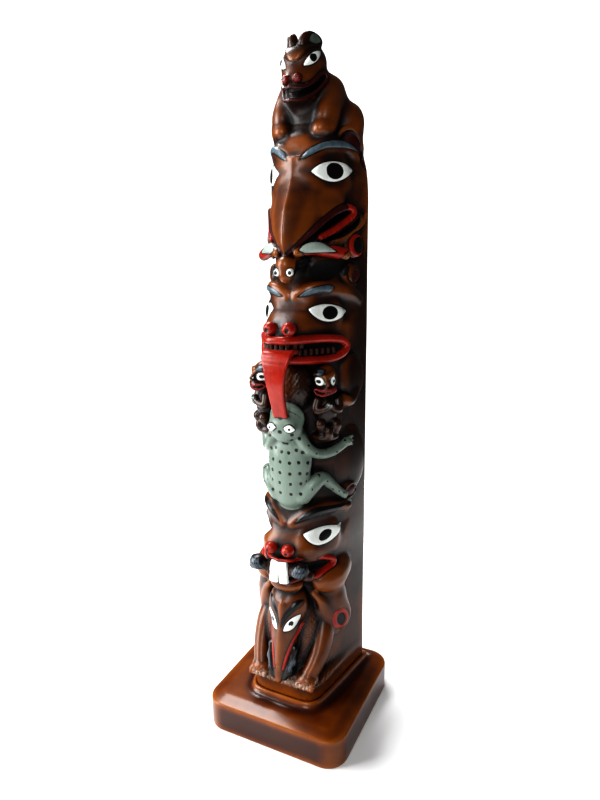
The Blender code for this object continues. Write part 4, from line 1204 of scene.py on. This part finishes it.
# %% Carve and cast the plinth
PLINTH_HALF = plinth_high[0]
PLINTH_CORNER = 12.5
EDGE_HEIGHT, SLOPE_RISE, SLOPE_WIDTH = 18.0, 1.9, 8.4
TABLE_HEIGHT = EDGE_HEIGHT + SLOPE_RISE
LIP_TOP = plinth_high[2]
LIP_WIDTH, LIP_COVE = 1.7, 5.0
SEAT_CLEARANCE = 0.3
SEAT_TOP = pole_low[2] - SEAT_CLEARANCE
PLINTH_STEP = 0.5


def rounded_square(x, y, half, corner):
    over_x, over_y = np.abs(x) - half + corner, np.abs(y) - half + corner
    outside = np.sqrt(np.maximum(over_x, 0) ** 2 + np.maximum(over_y, 0) ** 2)
    return outside + np.minimum(np.maximum(over_x, over_y), 0) - corner


foot = loft([(0, *FOOT_PLAN), (60, *FOOT_PLAN)], column_plan, (-1, -46, 0), (47, 46, 60), 0.75)
plinth_clay = Clay((0, -46.2, -1.2), (46.2, 46.2, LIP_TOP + 1.5), PLINTH_STEP)
x, y, z = [axis.reshape([-1 if index == place else 1 for place in range(3)])
           for index, axis in enumerate(plinth_clay.axes)]
edge = rounded_square(x, y, PLINTH_HALF, PLINTH_CORNER)
slope_length = math.hypot(SLOPE_RISE, SLOPE_WIDTH)
slope = (edge * SLOPE_RISE + (z - EDGE_HEIGHT) * SLOPE_WIDTH) / slope_length
block_body = -rounded_minimum(-edge, -slope, 0.9)
block_body = -rounded_minimum(-block_body, TABLE_HEIGHT - z, 0.3)
from_foot = foot.distance(x, y, 30.0)
lip = -rounded_minimum(SEAT_CLEARANCE + LIP_WIDTH - from_foot, LIP_TOP - z, 0.8)
field = rounded_minimum(block_body, lip, LIP_COVE)
field = -rounded_minimum(-field, np.minimum(z, LIP_TOP - z) + 0 * x, 1.0)
seat = np.maximum(from_foot - SEAT_CLEARANCE, SEAT_TOP - z)
plinth_clay.field = -rounded_minimum(-field, seat, 0.5)
plinth_field = np.concatenate([plinth_clay.field[:0:-1], plinth_clay.field])
plinth_axes = [np.concatenate([-plinth_clay.axes[0][:0:-1], plinth_clay.axes[0]]),
               plinth_clay.axes[1], plinth_clay.axes[2]]
points, faces = surface_of(plinth_field, plinth_axes)
plinth = mesh_object("cast_plinth", points, faces, 60000)
places = vertex_places(plinth)
for name, reach in (("fine_bend", 1.2), ("broad_bend", 3.0)):
    soft_field = blurred(plinth_clay.field, reach, plinth_clay.step)
    set_attribute(plinth, name, read_grid(soft_field, plinth_clay.axes, np.abs(places[:, 0]),
                                          places[:, 1], places[:, 2]))
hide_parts("plinth")
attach(plinth, "root")

# %% [markdown]
# ## Paint and varnish
# Polyester casting resin has an IOR near 1.56, and enamel paint and varnish are close to it, so one
# shader can hold them all. What changes from place to place is the colour under the varnish, how
# much glaze was left in the hollows, and the painted highlight and painted shade laid into the brown.
# Each colour's edge is drawn from the distance that the vertices carry, so it stays sharp, and a thin
# dark line of glaze follows it, as on the real one.

# %% Helpers for the finishes
RESIN_IOR = 1.56


def srgb(code):
    """A hex colour as the linear numbers that the shader wants."""
    parts = [int(code[i:i + 2], 16) / 255 for i in (1, 3, 5)]
    linear = [part / 12.92 if part <= 0.04045 else ((part + 0.055) / 1.055) ** 2.4 for part in parts]
    return (*linear, 1.0)


def add_node(material, kind, settings=None, links=None, values=None):
    """Adds a node, sets its properties and inputs, and links other sockets into it."""
    node = material.node_tree.nodes.new(kind)
    for name, value in (settings or {}).items():
        setattr(node, name, value)
    for name, value in (values or {}).items():
        node.inputs[name].default_value = value
    for name, socket in (links or {}).items():
        material.node_tree.links.new(socket, node.inputs[name])
    return node


def new_finish(name, roughness):
    material = bpy.data.materials.new(name)
    material.use_nodes = True
    shader = material.node_tree.nodes["Principled BSDF"]
    shader.inputs["IOR"].default_value = RESIN_IOR
    shader.inputs["Specular IOR Level"].default_value = 0.3
    shader.inputs["Coat Weight"].default_value = 0.08
    shader.inputs["Coat Roughness"].default_value = 0.12
    shader.inputs["Roughness"].default_value = roughness
    return material, shader


def attribute_socket(material, name):
    return add_node(material, "ShaderNodeAttribute", {"attribute_name": name}).outputs["Fac"]


def ramp_between(material, value, low, high, start=0.0, end=1.0):
    """A number that goes from start to end while the value goes from low to high."""
    node = add_node(material, "ShaderNodeMapRange", {"interpolation_type": "SMOOTHSTEP"},
                    {"Value": value},
                    {"From Min": low, "From Max": high, "To Min": start, "To Max": end})
    return node.outputs["Result"]


def mixed(material, share, under, over, blend="MIX"):
    """One colour over another. Each colour is a hex code or a socket."""
    values, links = {}, {}
    for socket, colour in (("A", under), ("B", over)):
        if isinstance(colour, str):
            values[socket] = srgb(colour)
        else:
            links[socket] = colour
    if isinstance(share, float):
        values[0] = share
    else:
        links[0] = share
    node = material.node_tree.nodes.new("ShaderNodeMix")
    node.data_type = "RGBA"
    node.blend_type = blend
    sockets = {0: node.inputs[0], "A": node.inputs[6], "B": node.inputs[7]}
    for name, value in values.items():
        sockets[name].default_value = value
    for name, socket in links.items():
        material.node_tree.links.new(socket, sockets[name])
    return node.outputs[2]


def brown_stain(material, dark, middle, light, painted_light_tones=()):
    """Brown stain that is thin and orange on what sticks out and nearly black in the hollows, with
    painted highlight and painted shade laid into it where those strokes lie.
    """
    place = add_node(material, "ShaderNodeTexCoord").outputs["Object"]
    cloud = add_node(material, "ShaderNodeTexNoise", {"noise_dimensions": "3D"}, {"Vector": place},
                     {"Scale": 55.0, "Detail": 3.0, "Roughness": 0.55}).outputs["Fac"]
    broad = attribute_socket(material, "broad_bend")
    fine = attribute_socket(material, "fine_bend")
    worn = add_node(material, "ShaderNodeMath", {"operation": "MULTIPLY_ADD"},
                    {0: cloud, 2: broad}, {1: 1.2}).outputs[0]
    tone = mixed(material, ramp_between(material, worn, 0.2, 1.6), middle, light)
    # Painted highlight and painted shade: strokes of these names lighten or darken the stain.
    for name, code, most in (("painted_highlight", light, 0.75), ("painted_shade", dark, 0.85)):
        if name in painted_light_tones:
            share = ramp_between(material, attribute_socket(material, name), -2.8, 1.2, 0.0, most)
            tone = mixed(material, share, tone, code)
    tone = mixed(material, ramp_between(material, broad, -0.55, 0.1, 1.0, 0.0), tone, dark)
    return mixed(material, ramp_between(material, fine, -0.22, -0.02, 1.0, 0.0), tone, dark), fine


print("mid grey is", round(srgb("#808080")[0], 3), "in linear light")

# %% [markdown]
# Enamel is brushed on in layers, so the list below goes from the lowest layer to the highest. The
# brush leaves fine streaks along the pole, which show less in the pale paints. The varnish is
# polished on what sticks out and stays matt in the hollows. The streaks are about 2 mm wide and
# 11 mm long, coarser than real bristle marks, or they would not show.

# %% Painted resin
PAINT_LAYERS = [
    ("shadow", "#050202"), ("stick_brown", "#34180a"), ("dark_red", "#3c0705"), ("red", "#8f1a03"),
    ("bead_red", "#6c130a"), ("lip_pink", "#5e2520"), ("stained_teeth", "#35120a"),
    ("blue_grey", "#4f5e67"), ("navy", "#05080c"), ("claw_grey", "#434f58"), ("frog_green", "#68766c"),
    ("stippled_grey", "#55605a"), ("silver", "#949f98"), ("white", "#e2e6e2"), ("black", "#030303"),
]
PALE_PAINTS = ("white", "silver", "frog_green")
GLAZE_LINE = 0.55
POLISHED, MATT_HOLLOW, MATT_SHADOW = 0.34, 0.3, 0.35
material, shader = new_finish("painted_polyester_resin", POLISHED)
colour, fine = brown_stain(material, "#0b0301", "#331405", "#743d0a", ("painted_highlight", "painted_shade"))
place = add_node(material, "ShaderNodeTexCoord").outputs["Object"]
along = add_node(material, "ShaderNodeMapping", None, {"Vector": place}, {"Scale": (420, 420, 90)})
hairs = add_node(material, "ShaderNodeTexNoise", None, {"Vector": along.outputs["Vector"]},
                 {"Scale": 1.0, "Detail": 3.0, "Roughness": 0.65}).outputs["Fac"]
for name, code in PAINT_LAYERS:
    if name not in paint:
        continue
    edge_distance = attribute_socket(material, name)
    outline = ramp_between(material, edge_distance, -GLAZE_LINE - 0.2, -GLAZE_LINE + 0.1)
    if name != "black":
        colour = mixed(material, outline, colour, "#120604")
    covered = ramp_between(material, edge_distance, -0.1, 0.12)
    streaks = ramp_between(material, hairs, 0.42, 0.72, 0.0, 0.12 if name in PALE_PAINTS else 0.35)
    stroked = mixed(material, streaks, code, "#140a08")
    glazed = mixed(material, ramp_between(material, fine, -0.35, -0.05, 0.75, 0.0), stroked, "#140705")
    colour = mixed(material, covered, colour, glazed)
bristles = add_node(material, "ShaderNodeTexNoise", None, {"Vector": place},
                    {"Scale": 900.0, "Detail": 2.0, "Roughness": 0.6}).outputs["Fac"]
caught = add_node(material, "ShaderNodeMath", {"operation": "MULTIPLY_ADD"},
                  {0: bristles, 2: attribute_socket(material, "dry_brush")}, {1: 6.0}).outputs[0]
colour = mixed(material, ramp_between(material, caught, 2.7, 4.4, 0.0, 0.85), colour, "#8d7668")
material.node_tree.links.new(colour, shader.inputs["Base Color"])
hollow = ramp_between(material, attribute_socket(material, "broad_bend"), -0.7, 0.2, MATT_HOLLOW, 0.0)
unpolished = ramp_between(material, attribute_socket(material, "shadow"), -0.4, 0.4, 0.0, MATT_SHADOW)
matt = add_node(material, "ShaderNodeMath", {"operation": "ADD"}, {0: hollow, 1: unpolished})
roughness = add_node(material, "ShaderNodeMath", {"operation": "ADD"},
                     {0: matt.outputs[0]}, {1: POLISHED})
material.node_tree.links.new(roughness.outputs[0], shader.inputs["Roughness"])
relief = add_node(material, "ShaderNodeBump", None, {"Height": hairs},
                  {"Strength": 0.12, "Distance": 0.0004})
material.node_tree.links.new(relief.outputs["Normal"], shader.inputs["Normal"])
pole.data.materials.append(material)
print(material.name, "has", len(material.node_tree.nodes), "nodes")

# %% [markdown]
# The plinth is the same resin with stain alone. It has no paint and is polished a little more.

# %% Stained plinth
material, shader = new_finish("stained_cast_plinth", 0.3)
colour, fine = brown_stain(material, "#1e0802", "#4c1f06", "#84490c")
material.node_tree.links.new(colour, shader.inputs["Base Color"])
plinth.data.materials.append(material)
print(material.name, "has", len(material.node_tree.nodes), "nodes")

# %% [markdown]
# ## The studio
# The photograph has soft window light from the left and a white surrounding. A large lamp to the
# left is the window, one above and behind draws the edges, and a tall narrow one in front gives the
# pale sheen on what faces the camera. The paper glows more with distance, so that its far edge melts
# into the white. The world is bright for the camera but dim in reflections, as in a dark room.

# %% Floor, lamps and world
floor_size = 0.8
bpy.ops.mesh.primitive_plane_add(size=floor_size, location=(0, 0, 0))
floor = bpy.context.object
floor.name = "studio_floor"
material = bpy.data.materials.new("matt white paper")
material.use_nodes = True
shader = material.node_tree.nodes["Principled BSDF"]
shader.inputs["Base Color"].default_value = srgb("#f4f4f4")
shader.inputs["Roughness"].default_value = 0.9
shader.inputs["Emission Color"].default_value = (1, 1, 1, 1)
place = add_node(material, "ShaderNodeTexCoord").outputs["Object"]
far = add_node(material, "ShaderNodeVectorMath", {"operation": "LENGTH"}, {0: place}).outputs["Value"]
material.node_tree.links.new(ramp_between(material, far, 0.1, 0.37, 0.06, 0.95),
                             shader.inputs["Emission Strength"])
floor.data.materials.append(material)
floor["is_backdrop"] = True


def soft_lamp(name, place, aim, width, height, power):
    lamp = bpy.data.lights.new(name, "AREA")
    lamp.shape = "RECTANGLE"
    lamp.size, lamp.size_y = width, height
    lamp.energy = power
    item = bpy.data.objects.new(name, lamp)
    item.location = place
    item.rotation_euler = (Vector(aim) - Vector(place)).to_track_quat("-Z", "Y").to_euler()
    bpy.context.scene.collection.objects.link(item)
    print("lamp", name, power, "W")


soft_lamp("window", (-0.75, -0.5, 0.5), (0, 0, 0.2), 0.5, 0.9, 16)
soft_lamp("overhead", (-0.4, 0.31, 0.98), (0, 0, 0.1), 0.62, 0.36, 10)
soft_lamp("front", (0.1, -1.0, 0.62), (0, 0, 0.2), 0.22, 0.6, 4.5)
bpy.context.scene.view_settings.view_transform = "Standard"
bpy.context.scene.view_settings.look = "High Contrast"
world = bpy.data.worlds.new("pale room")
bpy.context.scene.world = world
world.use_nodes = True
background = world.node_tree.nodes["Background"]
background.inputs["Color"].default_value = (1, 1, 1, 1)
seen = world.node_tree.nodes.new("ShaderNodeLightPath")
strength = world.node_tree.nodes.new("ShaderNodeMapRange")
strength.inputs["To Min"].default_value = 0.1
strength.inputs["To Max"].default_value = 1.0
world.node_tree.links.new(seen.outputs["Is Camera Ray"], strength.inputs["Value"])
world.node_tree.links.new(strength.outputs["Result"], background.inputs["Strength"])

# %% Print the visual box and finish
visual_box = [list(corner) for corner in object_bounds()]
print("visual box", [[round(value, 4) for value in corner] for corner in visual_box])
